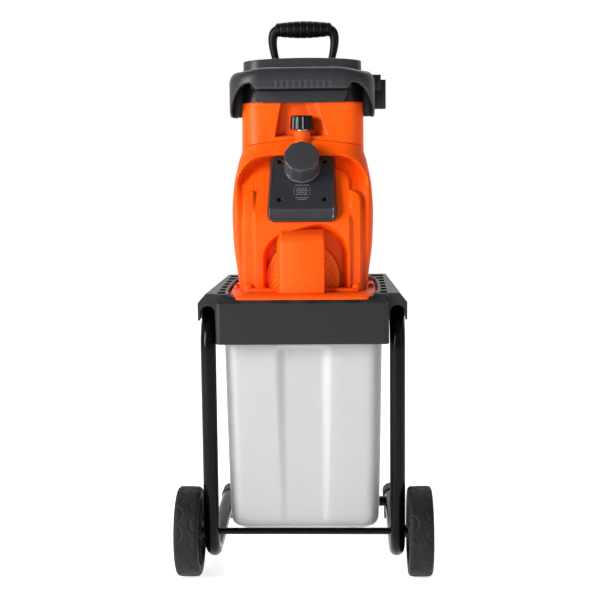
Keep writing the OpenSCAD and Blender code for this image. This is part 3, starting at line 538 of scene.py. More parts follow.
def soften(obj, width):
    """Rounds an object's hard edges, with flat faces merged first so that the rounding is even."""
    merge = obj.modifiers.new("merge_flats", "DECIMATE")
    merge.decimate_type = "DISSOLVE"
    merge.angle_limit = math.radians(0.6)
    bevel = obj.modifiers.new("rounded_edges", "BEVEL")
    bevel.width = width * MM
    bevel.segments = 3
    bevel.limit_method = "ANGLE"
    bevel.angle_limit = math.radians(30)
    bevel.harden_normals = True
    return obj


def drop_points(obj, spare):
    """Deletes the points for which spare(x, z) is true, in millimetres."""
    bm = bmesh.new()
    bm.from_mesh(obj.data)
    gone = [v for v in bm.verts if spare(v.co.x / MM, v.co.z / MM)]
    bmesh.ops.delete(bm, geom=gone, context="VERTS")
    bm.to_mesh(obj.data)
    bm.free()


def cut(obj, *cutters):
    """Takes the cutters out of obj and deletes them."""
    for cutter in cutters:
        mod = obj.modifiers.new("cut", "BOOLEAN")
        mod.operation = "DIFFERENCE"
        mod.solver = "EXACT"
        mod.object = cutter
    graph = bpy.context.evaluated_depsgraph_get()
    mesh = bpy.data.meshes.new_from_object(obj.evaluated_get(graph))
    obj.modifiers.clear()
    obj.data = mesh
    for cutter in cutters:
        bpy.data.objects.remove(cutter)
    return obj


def show(obj, slot, body, *nodes, look=None):
    """Gives a new piece its material, its body and the CAD nodes that it stands for."""
    obj.data.materials.clear()
    obj.data.materials.append(look or SLOT_LOOK[slot])
    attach(obj, body)
    if nodes:
        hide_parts(*nodes)


def dress_cad_nodes():
    """Every CAD node gets its slot's material and a smooth surface with true creases."""
    slots = {part["node"]: part["material_slot"] for part in frame["record"]["subparts"]}
    for name, obj in NODES.items():
        obj.data.materials.clear()
        obj.data.materials.append(NODE_LOOK.get(name) or SLOT_LOOK[slots[name]])
        obj.data.shade_smooth()
        obj.data.set_sharp_from_angle(angle=math.radians(28))


def arc_path(centre, r, start, end, n=12):
    """Points (y, z) on a circle from one heading to another, in degrees."""
    turns = [math.radians(lerp(start, end, i / n)) for i in range(n + 1)]
    return [(centre[0] + r * math.cos(a), centre[1] + r * math.sin(a)) for a in turns]


UPRIGHT = Matrix.Rotation(math.radians(-90), 4, "Y")    # turns an X axis up to Z


def upright(build, profile, x, y, steps):
    """Adds a shape turned about the vertical through x, y to a build; profile has (radius, z)."""
    made = build.revolve(profile, (0, 0), steps)
    bmesh.ops.transform(build.bm, matrix=Matrix.Translation((x, y, 0)) @ UPRIGHT, verts=made)


# ---- frame and wheels

# Centre line of the frame tubes: the upright leg's place, the bend radius, and the two runs' heights.
LEG_X, LEG_Y, BEND, LOW_Z, HIGH_Z = 166.0, -156.93, 60.0, 48.0, 471.0
TUBE_R = 13.6
LOW_FALL = 14.0     # how far the low run falls towards the wheels
AXLE = (-150.0, 80.0)
# Each tread's radius, the X of its inner face and its width.
TREAD_R, TREAD_X, TREAD_W = 80.0, 184.2, 42.8
SPOKES, CAP_RIBS = 8, 5


def frame_tubes():
    """Two C-shaped tubes, open towards the far side."""
    near = LEG_Y + BEND
    path = [(226, LOW_Z), (150, LOW_Z), (110, LOW_Z - 1), (-50, LOW_Z - 12.5)]
    path += arc_path((near, LOW_Z - LOW_FALL + BEND), BEND, -90, -180)
    path += arc_path((near, HIGH_Z - BEND), BEND, 180, 90) + [(40, HIGH_Z), (120, HIGH_Z)]
    for side, name in ((-1, "left"), (1, "right")):
        b = Build()
        b.tube([(side * LEG_X, y, z) for y, z in path], TUBE_R, 28)
        show(b.piece(name + "_tube"), "black_tube", "frame", name + "_frame_tube")


def tread_wobble(r, x, a):
    """Curved grooves that start in turn from each edge of the tread."""
    if r < TREAD_R - 6:
        return 0.0
    pitch, sweep, depth = 2 * math.pi * TREAD_R / 14, 15.5, 1.5
    u = a * TREAD_R
    out = 0.0
    for edge, shift in ((TREAD_X - 1, 0.0), (TREAD_X + TREAD_W + 1, 0.5)):
        away = (u / pitch + shift) % 1.0
        du = min(away, 1 - away) * pitch
        d = math.hypot(du, x - edge)
        out = min(out, -depth * math.exp(-((d - sweep) / 1.25) ** 2))
        if d < sweep:
            out = min(out, -0.45)
    return out


def spoke_turn(k, count):
    """Turns a box that stands on the axle's line to the place of spoke k of count."""
    return Matrix.Translation((0, *AXLE)) @ Matrix.Rotation(math.radians(360 / count * k), 4, "X")


def wheels():
    """Treaded tyres with spokes on the inner face, and ribbed orange caps outside."""
    inner, outer = TREAD_X, TREAD_X + TREAD_W
    turns = [math.radians(15 * k) for k in range(7)]
    shoulder = [(TREAD_R - 7 + 7 * math.sin(a), 7 - 7 * math.cos(a)) for a in turns]
    tread = [(r, inner + x) for r, x in shoulder]
    crown = [inner + 7 + (TREAD_W - 14) * k / 22 for k in range(1, 22)]
    tread += [(TREAD_R, x) for x in crown]
    tread += [(r, outer - x) for r, x in reversed(shoulder)]
    face = [(68, outer), (62, outer - 2), (57, outer - 7), (55, outer - 13.9), (18, outer - 13.9),
            (16, outer - 15.2), (6.3, outer - 15.2)]
    back = [(6.3, inner), (15, inner), (16, inner + 1), (16, inner + 10), (18, inner + 12),
            (54, inner + 16), (57, inner + 15), (59, inner + 5), (61, inner + 1.5), (66, inner)]
    for side, name in ((1, "right"), (-1, "left")):
        b = Build()
        b.revolve(tread + face + back, AXLE, 336, tread_wobble)
        for k in range(SPOKES):
            b.box((inner + 3, -2, 14), (inner + 15, 2, 58), 0.8, 2, spoke_turn(k, SPOKES))
        flip = Matrix.Diagonal((side, 1, 1, 1))
        show(b.piece(name + "_tyre", 50, flip), "tyre", name + "_wheel_body", name + "_wheel")
        cap = Build()
        dome = [(0.01, 229), (10, 228.9), (14, 228.2), (16, 226.6), (24, 225.8), (34, 223.9), (42, 221.2),
                (46, 219.4), (49, 217.6), (52.4, 213), (53, 208), (52.5, 206.2), (50, 206.2),
                (48.5, 212), (44, 216), (30, 220.5), (14, 223.5), (0.01, 224)]
        cap.revolve(dome, AXLE, 120)
        for k in range(CAP_RIBS):
            cap.box((217, -3, 20), (224.5, 3, 46), 1.4, 3, spoke_turn(k, CAP_RIBS))
        show(cap.piece(name + "_cap", 40, flip), "orange", name + "_wheel_body", name + "_hub_cap")


# ---- bin

# Sections of the bin: height, half width, near Y, far Y, corner radius.
BIN_SECTIONS = [[80, 120, -131, 176, 24], [86, 128.5, -138, 183, 24], [96, 133.5, -141.4, 187, 24],
                [440, 140, -149.5, 194, 26], [484, 140, -150, 195, 26], [488, 140, -150, 195, 26]]
BIN_FLOOR_Z, BIN_WALL = 80, 3
# The groove down the middle of the near face, as deep as GROOVE_Y and flat to GROOVE_HALF each way.
GROOVE_TOP, GROOVE_Y, GROOVE_HALF = 411.0, -139.5, 31.0
BIN_ARC, BIN_SIDE, BIN_FRONT = 8, 6, 72


def bin_ring(z, inset):
    """The bin's section at height z, set in by inset."""
    half, near, far, r = along(BIN_SECTIONS, z) if z > 96 else along(BIN_SECTIONS[:3], z)
    half, near, far, r = half - inset, near + inset, far - inset, r - inset * 0.6
    edge = 50 - 19 * (near - inset + 150) / 16
    fade = 1 - smooth((z - GROOVE_TOP + 5) / 9)
    out = []
    for x, y in ring(half, near, far, r, BIN_ARC, BIN_SIDE, BIN_FRONT):
        if y < near + 0.01:
            run = smooth((edge + inset + 3 - abs(x)) / (edge + 3 - GROOVE_HALF))
            y = near + max(0.0, GROOVE_Y + inset - near) * run * fade
        out.append((x, y))
    return at_height(out, z)


def bin_shell():
    """Thin-walled bin with a rolled rim and a slot for the lock in the rim's far edge."""
    heights = [80, 81, 82.5, 85, 89, 94, 102, 110]
    heights += [110 + (GROOVE_TOP - 118) * k / 12 for k in range(1, 13)]
    heights += [GROOVE_TOP - 8 + 1.2 * k for k in range(1, 15)] + [440, 470, 482, 484]
    b = Build()
    rings = [bin_ring(z, 0) for z in heights]

    def shrunk(z, inset, at):
        return [(x * 0.97, 23 + (y - 23) * 0.975, at) for x, y, _ in bin_ring(z, inset)]

    rim = [
        at_height(ring(146 - c, -158 + c, 204 - c, 30 - c, BIN_ARC, BIN_SIDE, BIN_FRONT), z)
        for c, z in ((0.4, 484.02), (0, 484.6), (0, 487.3), (0.6, 487.95), (1.6, 488))
    ]
    inside = [bin_ring(z, BIN_WALL) for z in reversed([84, 85, 87, 91, 96] + heights[6:])]
    inside = [[(x, y, 488.0 if z == 484 else z) for x, y, z in row] for row in inside]
    b.loft([shrunk(BIN_FLOOR_Z, 0, 80.01)] + rings + rim + inside + [shrunk(84, BIN_WALL, 84.0)])
    obj = b.piece("bin_shell", 40)
    cut(obj, block("slot_cutter", (-13, 195.8, 470), (13, 201.8, 500)))
    obj.data.shade_smooth()
    obj.data.set_sharp_from_angle(angle=math.radians(40))
    show(obj, "bin_plastic", "bin_body", "bin")


# ---- lower housing

# Sections of the housing: height, half width, near Y, far Y, corner radius.
HOUSING = [[514, 115, -125, 124, 40], [545, 118.5, -127, 126, 42], [585, 123.5, -127, 128, 42],
           [645, 126, -122, 128, 42], [680, 124.5, -114, 127, 42], [706, 121.5, -105, 125, 42],
           [735, 115.5, -92, 121, 40], [760, 110.5, -79, 116, 38], [775, 110, -72, 112, 36]]
# Height and Y of the cover's surfaces, from the recess behind it to its middle panel.
RECESSED = [[514, -111], [560, -111], [640, -106], [680, -90], [706, -71], [735, -54], [749, -46]]
STEP_Y = [[514, -112], [524, -114], [640, -114], [680, -101], [700, -88]]
MIDDLE_Y = [[514, -119], [560, -123], [618, -122.5], [634, -121], [650, -112.5], [700, -83], [731, -66]]
TOP_SEAM = 775.0
SHELL_WALL = 2.6


def outline_mask(x, z, half, top, r, blend):
    """1 inside an outline -half..half wide that runs from far below up to top, 0 outside it."""
    return smooth(-rounded_distance(x, z, (0, top - 200), (half, 200), r) / blend)


def seam_sag(x, y, share):
    """How far the joint between housing and hopper falls towards the sides of the near face."""
    return 12.0 * share * (x / 110) ** 2 * smooth((70 - y) / 70)


def shell_wall(obj):
    """Gives an open shell its thickness, inwards."""
    wall = obj.modifiers.new("wall", "SOLIDIFY")
    wall.thickness = SHELL_WALL * MM
    wall.offset = -1


def hinge_lug(build, side, span, bore, low, high):
    """Adds an eye on the hinge's axis over a span of X, and its foot from low to high, each (y, z)."""
    near, far = span
    eye = [(bore, near), (7.5, near), (7.5, far), (bore, far)]
    build.revolve([(r, side * x) for r, x in eye], HINGE, 32)
    low_x, high_x = across(side, near, far)
    build.box((low_x, *low), (high_x, *high), 1.2, 2)


def housing_ring(z):
    """The housing's section at height z, with the hooded recess that the cover lies in."""
    half, near, far, r = along(HOUSING, z)
    depth = max(0.0, along(RECESSED, z)[0] - near) if z < 756 else 0.0
    low = smooth((722 - z) / 36)
    hood_half, hood_blend = lerp(117, 123, low), lerp(7, 21, low)
    out = []
    for x, y in ring(half, near, far, r, 16, 16, 120):
        if y < far - r - 20:
            hood = outline_mask(x, z, hood_half, 750, 58, hood_blend)
            near_side = 1 - smooth((y - near - r) / 90)
            y += depth * hood * near_side
            if abs(x) < 104 and z < 724:
                opening = max(outline_mask(x, z, 100, 684, 18, 3), outline_mask(x, z, 82, 722, 27, 3))
                y += 26 * opening
            if abs(x) < 32.9 and 738 < z < 768:
                # pocket, 33 mm in radius, that the adjusting knob turns in
                edge = math.sqrt(33 ** 2 - x * x)
                pocket = ADJUSTER[0] + (edge - SLOPE_Z * (z - ADJUSTER[1])) / SLOPE_X
                y = max(y, min(pocket, -56.0))
        out.append((x, y))
    share = smooth((z - 735) / 39)
    return [(x, y, z - seam_sag(x, y, share)) for x, y in out]


def housing_shell():
    """Housing with its roof, the neck of the locking screw, hinge lugs and the cover's foot bosses."""
    b = Build()
    heights = [508.6, 509.4, 511, 514] + evenly(516, 3, 53)
    heights += [674 + 1.15 * k for k in range(1, 78)] + [765, 769, 772, 773.6, 774.4, TOP_SEAM]
    rings = [housing_ring(z) for z in heights]
    rings[0] = [(x * 0.996, y * 0.996, z) for x, y, z in rings[0]]
    for row, back in ((-1, 0.9955), (-2, 0.9985)):
        rings[row] = [(x * back, 20 + (y - 20) * back, z) for x, y, z in rings[row]]
    b.loft(rings, caps=False)
    obj = b.piece("housing_shell", 60)
    shell_wall(obj)
    show(obj, "orange", "frame", "main_housing")
    roof = Build()
    outline = ring(106.5, -68.6, 108.6, 33, 10)
    roof.loft([at_height(outline, z) for z in (771.0, 774.95)])
    slab = roof.piece("housing_roof", 30)
    show(cut(slab, block("hole", (-75, -15, 760), (75, 108, 790))), "orange", "frame")
    extras = Build()
    neck = [(6.2, 753), (6.2, 775), (13.4, 775), (14.5, 773.6), (14.5, 757), (12, 753)]
    upright(extras, neck, 0, LOCK_Y, 56)
    for side in (-1, 1):
        hinge_lug(extras, side, (46, 60), 4.05, (113, 762), (120.9, 779.5))
        boss = [(0.01, DECK_Z), (9.6, DECK_Z), (9, 516), (7.2, 520.5), (4, 522.4), (0.01, 523)]
        upright(extras, boss, side * 96, -114, 32)
    show(extras.piece("housing_bosses", 40), "orange", "frame")


def cover_y(x, z):
    """The rear cover's surface; outside its own outline it dips under the housing."""
    y = along(RECESSED, z)[0] + 4.5
    y = lerp(y, along(STEP_Y, z)[0], outline_mask(x, z, 106.5, 689, 20, 4.5))
    y = lerp(y, along(MIDDLE_Y, z)[0], outline_mask(x, z, 87.5, 727, 30, 5))
    # the alcove is narrower, lower and steeper on its left
    t = smooth((x + 40) / 80)
    alcove = outline_mask(x, z, lerp(70, 85, t), lerp(614, 632, t), lerp(48, 60, t), lerp(9, 17, t))
    return lerp(y, -97.2, alcove)


def grid_slab(name, xs, zs, surface, thick):
    """A sheet over a grid in X and Z whose near side follows surface(x, z), with a flat-edged back."""
    nx, nz = len(xs), len(zs)
    front = [(x, surface(x, z), z) for z in zs for x in xs]
    back = [(x, y + thick, z) for x, y, z in front]
    count = nx * nz
    faces = []
    for j in range(nz - 1):
        for i in range(nx - 1):
            a = j * nx + i
            faces.append((a, a + 1, a + nx + 1, a + nx))
            faces.append((count + a, count + a + nx, count + a + nx + 1, count + a + 1))
    edge = list(range(nx)) + [j * nx + nx - 1 for j in range(1, nz)]
    edge += [(nz - 1) * nx + i for i in range(nx - 2, -1, -1)] + [j * nx for j in range(nz - 2, 0, -1)]
    for k, a in enumerate(edge):
        c = edge[(k + 1) % len(edge)]
        faces.append((a, a + count, c + count, c))
    b = Build()
    b.add(front + back, faces)
    return b.piece(name, 60)


def rear_cover():
    """Stepped cover in the housing's recess."""
    obj = grid_slab("rear_cover_panel", evenly(-108, 1.35, 161), evenly(509.2, 1.35, 163), cover_y, 3.0)
    show(obj, "orange", "frame", "rear_cover")


def cover_plinth():
    """Low foot along the cover's lower edge."""
    b = Build()
    b.box((-99, -133, DECK_Z), (99, -112, 514.8), 2.2)
    show(b.piece("cover_plinth", 30), "orange", "frame")


def vent():
    """Domed round grille with a diagonal hatch of raised bars, cut off level at the base."""
    centre_z, r = 531.0, 66.0

    def surface(x, z):
        d = math.hypot(x, z - centre_z)
        dome = -106.5 - 9.5 * math.cos(min(1.0, d / r) * math.pi / 2)
        if d > r:
            return -96.0
        rim = smooth((d - 58) / 3)
        u, v = (x + z) * 0.7071, (x - z) * 0.7071
        lattice = max(math.exp(-((w / 6.2 % 1.0 - 0.5) / 0.14) ** 2) for w in (u, v))
        hatch = 1.7 * (1 - lattice) * (1 - smooth((d - 55) / 3))
        return dome - rim * (d < r - 1) + hatch

    obj = grid_slab("vent_grille", evenly(-66, 0.92, 144), evenly(509.2, 0.92, 97), surface, 1.6)
    drop_points(obj, lambda x, z: math.hypot(x, z - centre_z) > r + 1.3)
    # the grille's paler orange is painted light against the shade of the alcove
    show(obj, "orange", "frame", "motor_vent_grille", look=VENT_PAINTED_LIGHT)


def duct():
    """Boxed duct with a rounded top in the middle of the cover."""
    b = Build()
    profile = [(-101.8, 509.2), (-155.4, 509.2), (-156, 510), (-150, 590)]
    profile += arc_path((-128, 592), 22, 180, 104, 8)
    profile += [(-126, 615.5), (-118, 618), (-101.8, 619)]
    steps = [(-44.5, 14), (-43.5, 11), (-37.5, 1.2), (-35, 0.0), (36.5, 0.0), (38.5, 1.0), (39.6, 3.6)]
    rings = []
    for x, back in steps:
        rings.append([(x, min(y + back, -101.8), z - (back if z > 590 else 0)) for y, z in profile])
    b.loft(rings)
    show(b.piece("vent_duct", 30), "orange", "frame", "rear_duct_cover")


def base_ring(grow, z):
    """Squircle of the base, squared off behind the skirt."""
    out = []
    for a in circle(160):
        c, s = math.cos(a), math.sin(a)
        k = (c ** 4 + s ** 4) ** -0.25
        y = -38 + ((185 if s > 0 else 190) + grow) * s * k
        out.append(((132 + grow) * c * k, max(-166 - grow, y), z))
    return out


def base_dish():
    """Orange base plate whose near edge rolls over the skirt, and the deck's raised lip round it, pale grey
    as painted highlight.
    """
    b = Build()
    # how far each ring stands out, its height, and how far its near edge rolls over the skirt
    rim = [(0, 499.5, 8.2), (0, 502.0, 8.0), (-0.5, 504.2, 7.0), (-1.6, 506.6, 4.6), (-3.2, 508.2, 2.0),
           (-5.5, 508.9, 0.6), (-12, 509, 0)]
    rings = []
    for grow, z, roll in rim:
        row = []
        for x, y, _ in base_ring(grow, z):
            over = smooth((-150 - y) / 14) * smooth((123 - abs(x)) / 12)
            row.append((x, y - roll * over, max(z, 505.0 - 4.5 * over)))
        rings.append(row)
    b.loft(rings)
    for side in (-1, 1):
        for y in (-62, 52):
            boss = [(0.01, 505), (5.6, 505), (5.2, 513.4), (4.6, 514), (0.01, 514)]
            upright(b, boss, side * 122, y, 32)
    show(b.piece("base_dish", 40), "orange", "frame", "base_plate")
    lip = Build()
    wall = [(2.0, 506), (2.0, 510.6), (2.4, 511.6), (3.1, 512.0), (3.9, 511.6), (4.3, 510.6), (4.3, 509.6),
            (4.3, 506)]
    lip.loft([base_ring(grow, z) for grow, z in wall], closed=True)
    lip = cut(lip.piece("deck_lip", 50), block("trim", (-200, -200, 480), (200, -163.5, 530)))
    # the lip's pale grey is painted highlight
    show(lip, "pale_plastic", "frame", look=DECK_LIP_PAINTED_HIGHLIGHT)


# ---- hopper

# Sections of the chute: height, half width, near Y, far Y, corner radius.
CHUTE = [[775.3, 110, -70, 112, 36], [800, 110, -66, 114, 36], [825, 109.5, -63, 116, 35],
         [842, 109, -62, 118, 34]]


def chute_ring(z):
    """The chute's section at height z, with the tapered recess behind the locking knob."""
    half, near, far, r = along(CHUTE, z)
    out = []
    up = (z - 785) / 53
    left, right = lerp(-49, -39, up), lerp(47, 30, up)
    for x, y in ring(half, near, far, r, 12, 10, 130):
        if y < near + 1 and z > 781:
            inside = min(smooth((x - left) / 5.0), smooth((right - x) / 26.0)) * smooth((z - 782) / 3.5)
            y += (-47.5 - near) * inside
        out.append((x, y))
    share = 1 - smooth((z - 775.3) / 45)
    return [(x, y, z - seam_sag(x, y, share)) for x, y in out]


def hopper_body():
    """Chute with its floor, the screw's neck and the hinge lugs."""
    heights = [775.3, 775.9, 777] + evenly(779, 1.3, 12) + evenly(797, 3, 15) + [842]
    b = Build()
    rings = [chute_ring(z) for z in heights]
    rings[0] = [(x * 0.996, 20 + (y - 20) * 0.996, z) for x, y, z in rings[0]]
    b.loft(rings, caps=False)
    obj = b.piece("chute_shell", 60)
    shell_wall(obj)
    show(obj, "orange", "hopper", "hopper_chute")
    extras = Build()
    neck = [(5.4, 775.4), (14, 775.4), (14.5, 776.2), (14.5, 789.6), (13.3, 790.9), (5.4, 791)]
    upright(extras, neck, 0, LOCK_Y, 56)
    for side in (-1, 1):
        hinge_lug(extras, side, (30, 45.6), 4.4, (112, 789), (121, 802))
    show(extras.piece("chute_neck", 40), "orange", "hopper")
    floor_plate = Build()
    floor_plate.loft([at_height(ring(106, -64, 108, 32, 10), z) for z in (775.4, 778.2)])
    slab = floor_plate.piece("chute_floor", 30)
    hole = block("hole", (-72, -12, 760), (72, 104, 790))
    drill = Build()
    drill.tube([(0, LOCK_Y, 760), (0, LOCK_Y, 800)], 5.4, 24)
    show(cut(slab, hole, drill.piece("drill")), "orange", "hopper")


# Outlines of the lip and of the collar inside it: half width, near Y, far Y, corner radius.
LIP = (130.0, -108.0, 150.0, 55.0)
COLLAR = (107.5, -60.0, 126.0, 34.0)
COLLAR_TOP = 920
RIB_PITCH = 10.6
# Distance along Y from the lip's middle, and the height of its lower edge there.
LIP_EDGE = [[50, 815.5], [63, 817], [76, 824], [90, 836], [103, 851], [112, 862], [120, 871], [129, 878]]


def lip_low(x, y):
    """Height of the lip's lower edge: low along the sides as a hand grip, arched up in front and behind."""
    low = along(LIP_EDGE, abs(y - 21))[0]
    bar = smooth((abs(x) - 84) / 5)
    if abs(y - 21) > 120:
        low = lerp(864.0, low, bar)
    return low


def rim_ring(outline, away):
    """An outline of the rim, moved outwards by away."""
    half, near, far, r = outline
    return ring(half + away, near - away, far + away, r + away, 14, 60, 150)


def lip_sag(x):
    """How far the lip's top falls towards the sides."""
    return 7.0 * smooth((abs(x) - 55) / 75)


def rim_lip():
    """Flared lip with grip ribs, from its lower edge over the top to the collar and back underneath."""
    inner = ring(COLLAR[0] - 2, COLLAR[1] + 2, COLLAR[2] + 2, 33, 14, 60, 150)
    b = Build()
    rings = []
    for (x, y), (ix, iy), (dx, dy) in zip(rim_ring(LIP, 0), inner, rim_ring(LIP, -4)):
        low = lip_low(x, y)
        length = math.hypot(dx - x, dy - y)
        nx, ny = (x - dx) / length, (y - dy) / length
        loop = []

        def put(away, z):
            drop = lip_sag(x) * smooth((z - 868) / 30)
            loop.append((x + nx * away, y + ny * away, z - drop))

        grip = 0.0
        if y < LIP[1] + 1 and abs(x) < 60:
            wave = 0.5 - 0.5 * math.cos(2 * math.pi * x / RIB_PITCH)
            grip = 0.7 * wave ** 0.7 * smooth((60 - abs(x)) / 14)
        put(-3.4, low)
        put(-1.2 - grip, low + 0.3)
        put(-0.2 - grip, low + 1.6)
        for t in (0.3, 0.6, 0.9):
            put(-0.1 - grip, lerp(low + 1.6, max(878.2, low + 2), t))
        put(-0.2 - grip * 0.5, max(878.5, low + 2.1))
        for away, z in ((-0.3, 880), (-1.2, 886), (-2.8, 892), (-5.2, 896.6), (-8.4, 899.8), (-11.5, 901.4),
                        (-13.5, 901.9), (-16, 901.7), (-18.5, 900.6)):
            put(away, z)
        sx, sy = x - nx * 20, y - ny * 20
        for t in (0.1, 0.5, 1.0):
            loop.append((lerp(sx, ix, t), lerp(sy, iy, t), 900.3 - lip_sag(x)))
        for t in (1.0, 0.5, 0.1):
            loop.append((lerp(sx, ix, t), lerp(sy, iy, t), 897.2 - lip_sag(x)))
        for away, z in ((-14, 896.8), (-9, 893.5), (-5.5, 888), (-4.2, 880)):
            put(away, z)
        put(-4.0, lerp(low, 880, 0.5))
        put(-4.0, low + 0.4)
        rings.append(loop)
    b.loft(rings, closed=True)
    show(b.piece("rim_lip", 50), "grey", "hopper", "hopper_rim")


def rim_webs_in_painted_shade():
    """Webs that hold the lip from below, black as painted shade for the dark under the lip."""
    webs = Build()
    spans = [((108, 127.5), (-19.5, -16.5), (817, 891)), ((108, 127.5), (54.5, 57.5), (817, 891)),
             ((85, 87.5), (-103.5, -58), (865, 893)), ((103, 105.5), (-95, -50), (869, 891))]
    for side in (-1, 1):
        for span_x, span_y, span_z in spans:
            low_x, high_x = across(side, *span_x)
            webs.box((low_x, span_y[0], span_z[0]), (high_x, span_y[1], span_z[1]), 0.5, 2)
    # black here is painted shade: the webs stand in the dark under the lip
    show(webs.piece("rim_webs_in_painted_shade", 40), "black_plastic", "hopper")


def rim_collar():
    """The collar inside the lip, in a paler grey that is painted highlight, and a black liner that is painted
    shade under the lip.
    """
    collar = Build()
    # how far each ring stands out; its height, or None at the rounded top; its fall below the top; its lean
    walls = ((0, 842.1, 0, 0), (0, 870, 0, 1), (0, None, 1.4, 2), (-0.5, None, 0.5, 2), (-1.6, None, 0, 2),
             (-3.0, None, 0.5, 2), (-3.5, None, 1.6, 2), (-3.5, 870, 0, 1), (-3.5, 842.1, 0, 0))
    rings = []
    for away, z, fall, lean in walls:
        row = rim_ring(COLLAR, away)
        top = COLLAR_TOP - fall
        rings.append([(x * (1 - lean * 0.006), y, z or top - 4.5 * (x / 106) ** 2) for x, y in row])
    collar.loft(rings, closed=True)
    show(collar.piece("rim_collar", 50), "grey", "hopper", look=COLLAR_PAINTED_HIGHLIGHT)
    # a thin black sheet round the collar, under the lip: painted shade
    liner = Build()
    wall = ((0.1, 842.6), (0.8, 843), (0.8, 889), (0.1, 889))
    liner.loft([at_height(rim_ring(COLLAR, away), z) for away, z in wall], closed=True)
    show(liner.piece("rim_painted_shade_liner", 50), "black_plastic", "hopper")


def rim_panel():
    """The panel below the lip, on the wheel side."""
    panel = Build()
    face = [(-81, 862), (81, 862), (80, 852), (72, 841), (-72, 841), (-80, 852)]
    rows = [
        [(x * s, y + 1.5 * (x / 80) ** 2, z) for x, z in face]
        for s, y in ((0.985, -68.0), (1.0, -67.0), (1.0, -60.2))
    ]
    panel.loft(rows)
    show(soften(panel.piece("rim_panel", 30), 0.8), "grey", "hopper")


def stick_clip():
    """Holder for the push stick, on the right of the rim."""
    b = Build()
    b.box((119, -12, 862), (142, 22, 891), 1.5)
    b.box((139, -11, 829.5), (151, 21, 882), 1.5)
    b.box((126, -12, 829.5), (147.5, 22, 863), 1.5)
    b.box((133, -12.6, 866), (138, -11.4, 887), 0.4, 2)
    show(b.piece("stick_clip", 30), "grey", "hopper", "push_stick_holder", look=DEEP)


def console_face(z):
    """The console's slanted face, which turns into an upright wall near its lower end."""
    slant = -66 - (752 - z) * 59 / 90
    wall = -129 + (z - 652) * 0.03
    t = smooth((z - 648) / 16)
    return lerp(wall, max(slant, -129.5), t)


def console_edge(x, z):
    """Signed distance to the console's outline, below 0 inside; it tapers upwards."""
    half = lerp(63.0, 58.0, (z - 634) / 118)
    return rounded_distance(x, z, (0, 690.8), (half, 61.2), 15)


def console_cover():
    """Console with its four screw holes, and the raised marks below the knob."""
    # places on the slanted face are given by x and v, the distance up the slope from the knob's axis
    holes = [(x, ADJUSTER[1] + v * SLOPE_Z) for x in (-40, 40) for v in (-65, 13)]

    def surface(x, z):
        d = -console_edge(x, z)
        y = console_face(z) + 27 * (1 - rise(d / 6.5))
        y += 0.9 * smooth((d - 6.5) / 1.5)
        for hx, hz in holes:
            y += 6.5 * (1 - smooth((math.hypot(x - hx, (z - hz) / 0.84) - 3.4) / 0.9))
        return y

    obj = grid_slab("console_cover", evenly(-64, 0.8, 161), evenly(629.2, 0.8, 155), surface, 2.0)
    drop_points(obj, lambda x, z: console_edge(x, z) > 0.4)
    show(obj, "grey", "frame", "console", look=SATIN)
    # generic marks: rows of small blocks inside a frame of short bars, over two lines
    b = Build()

    def mark(x, v, w, h):
        z = ADJUSTER[1] + v * SLOPE_Z
        lean = Matrix.Rotation(math.radians(-33.25), 4, "X")
        place = Matrix.Translation((x, console_face(z) + 0.75, z)) @ lean
        made = b.box((-w / 2, -0.35, -h / 2), (w / 2, 0.35, h / 2))
        bmesh.ops.transform(b.bm, matrix=place, verts=made)

    for i in range(7):
        mark(-10.5 + 3.5 * i, -35.5, 1.6, 2.6 if i % 2 else 3.6)
    for i in range(4):
        mark(14, -40.5 - 4.2 * i, 1.2, 2.2)
        mark(-14, -40.5 - 4.2 * i, 1.2, 2.2)
    for row, count in ((-42, 4), (-46, 5), (-50, 4), (-54, 5)):
        for i in range(count):
            mark((i - (count - 1) / 2) * 4.4, row, 2.5, 2.5)
    mark(0, -61, 24, 1.1)
    mark(0, -64.5, 16, 1.1)
    show(b.piece("console_pictogram", 30), "pale_plastic", "frame", look=PRINT)


def turned(steps, radius):
    """A body round Z through rows of (height, value), with radius(heading, height, value)."""
    b = Build()
    rings = []
    for h, value in steps:
        row = [(a, radius(a, h, value)) for a in circle(160)]
        rings.append([(r * math.cos(a), r * math.sin(a), h) for a, r in row])
    b.loft(rings)
    return b


def adjusting_knob():
    """Ten-sided knob on a round collar, along the console's axis."""
    n, flat, corner = 10, 30.5, 31.7
    # height, and the radius there: None stands for the ten sides, below 0 for how far they are set in
    steps = ((0.6, 26.5), (0.6, 31.8), (1.6, 32.6), (4, 32.6), (5.2, 31.6), (6.2, None), (37.5, None),
             (39.6, -0.7), (40.7, -2.0), (41, -3.6), (41, -20))

    def radius(a, h, given):
        off = (a + math.pi / n) % (2 * math.pi / n) - math.pi / n
        r = min(flat / math.cos(off), corner)
        if given is None:
            return r - 0.4 if h < 10 else r
        return given if given > 0 else r + given

    place = Matrix.Translation((0, *ADJUSTER)) @ Matrix.Rotation(math.pi / 2 - ADJUSTER_TILT, 4, "X")
    knob = turned(steps, radius).piece("depth_knob", 26, place)
    show(knob, "grey", "adjuster", "adjusting_knob", look=KNOB_GREY)


def locking_knob():
    """Knob with eight flutes."""
    steps = ((0, 16), (0, 20.6), (0.8, 21.5), (3, 21.5), (14, 20.6), (22.5, 19.9), (24.3, 19.0), (25, 17.2),
             (25, 6))

    def radius(a, h, r):
        return r - max(0.0, math.cos(8 * a)) ** 1.5 * 1.9 * (1 if r > 17 else 0)

    place = Matrix.Translation((0, LOCK_Y, 793.2))
    show(turned(steps, radius).piece("locking_knob", 35, place), "gloss_black", "lock_turn_body", "lock_knob")


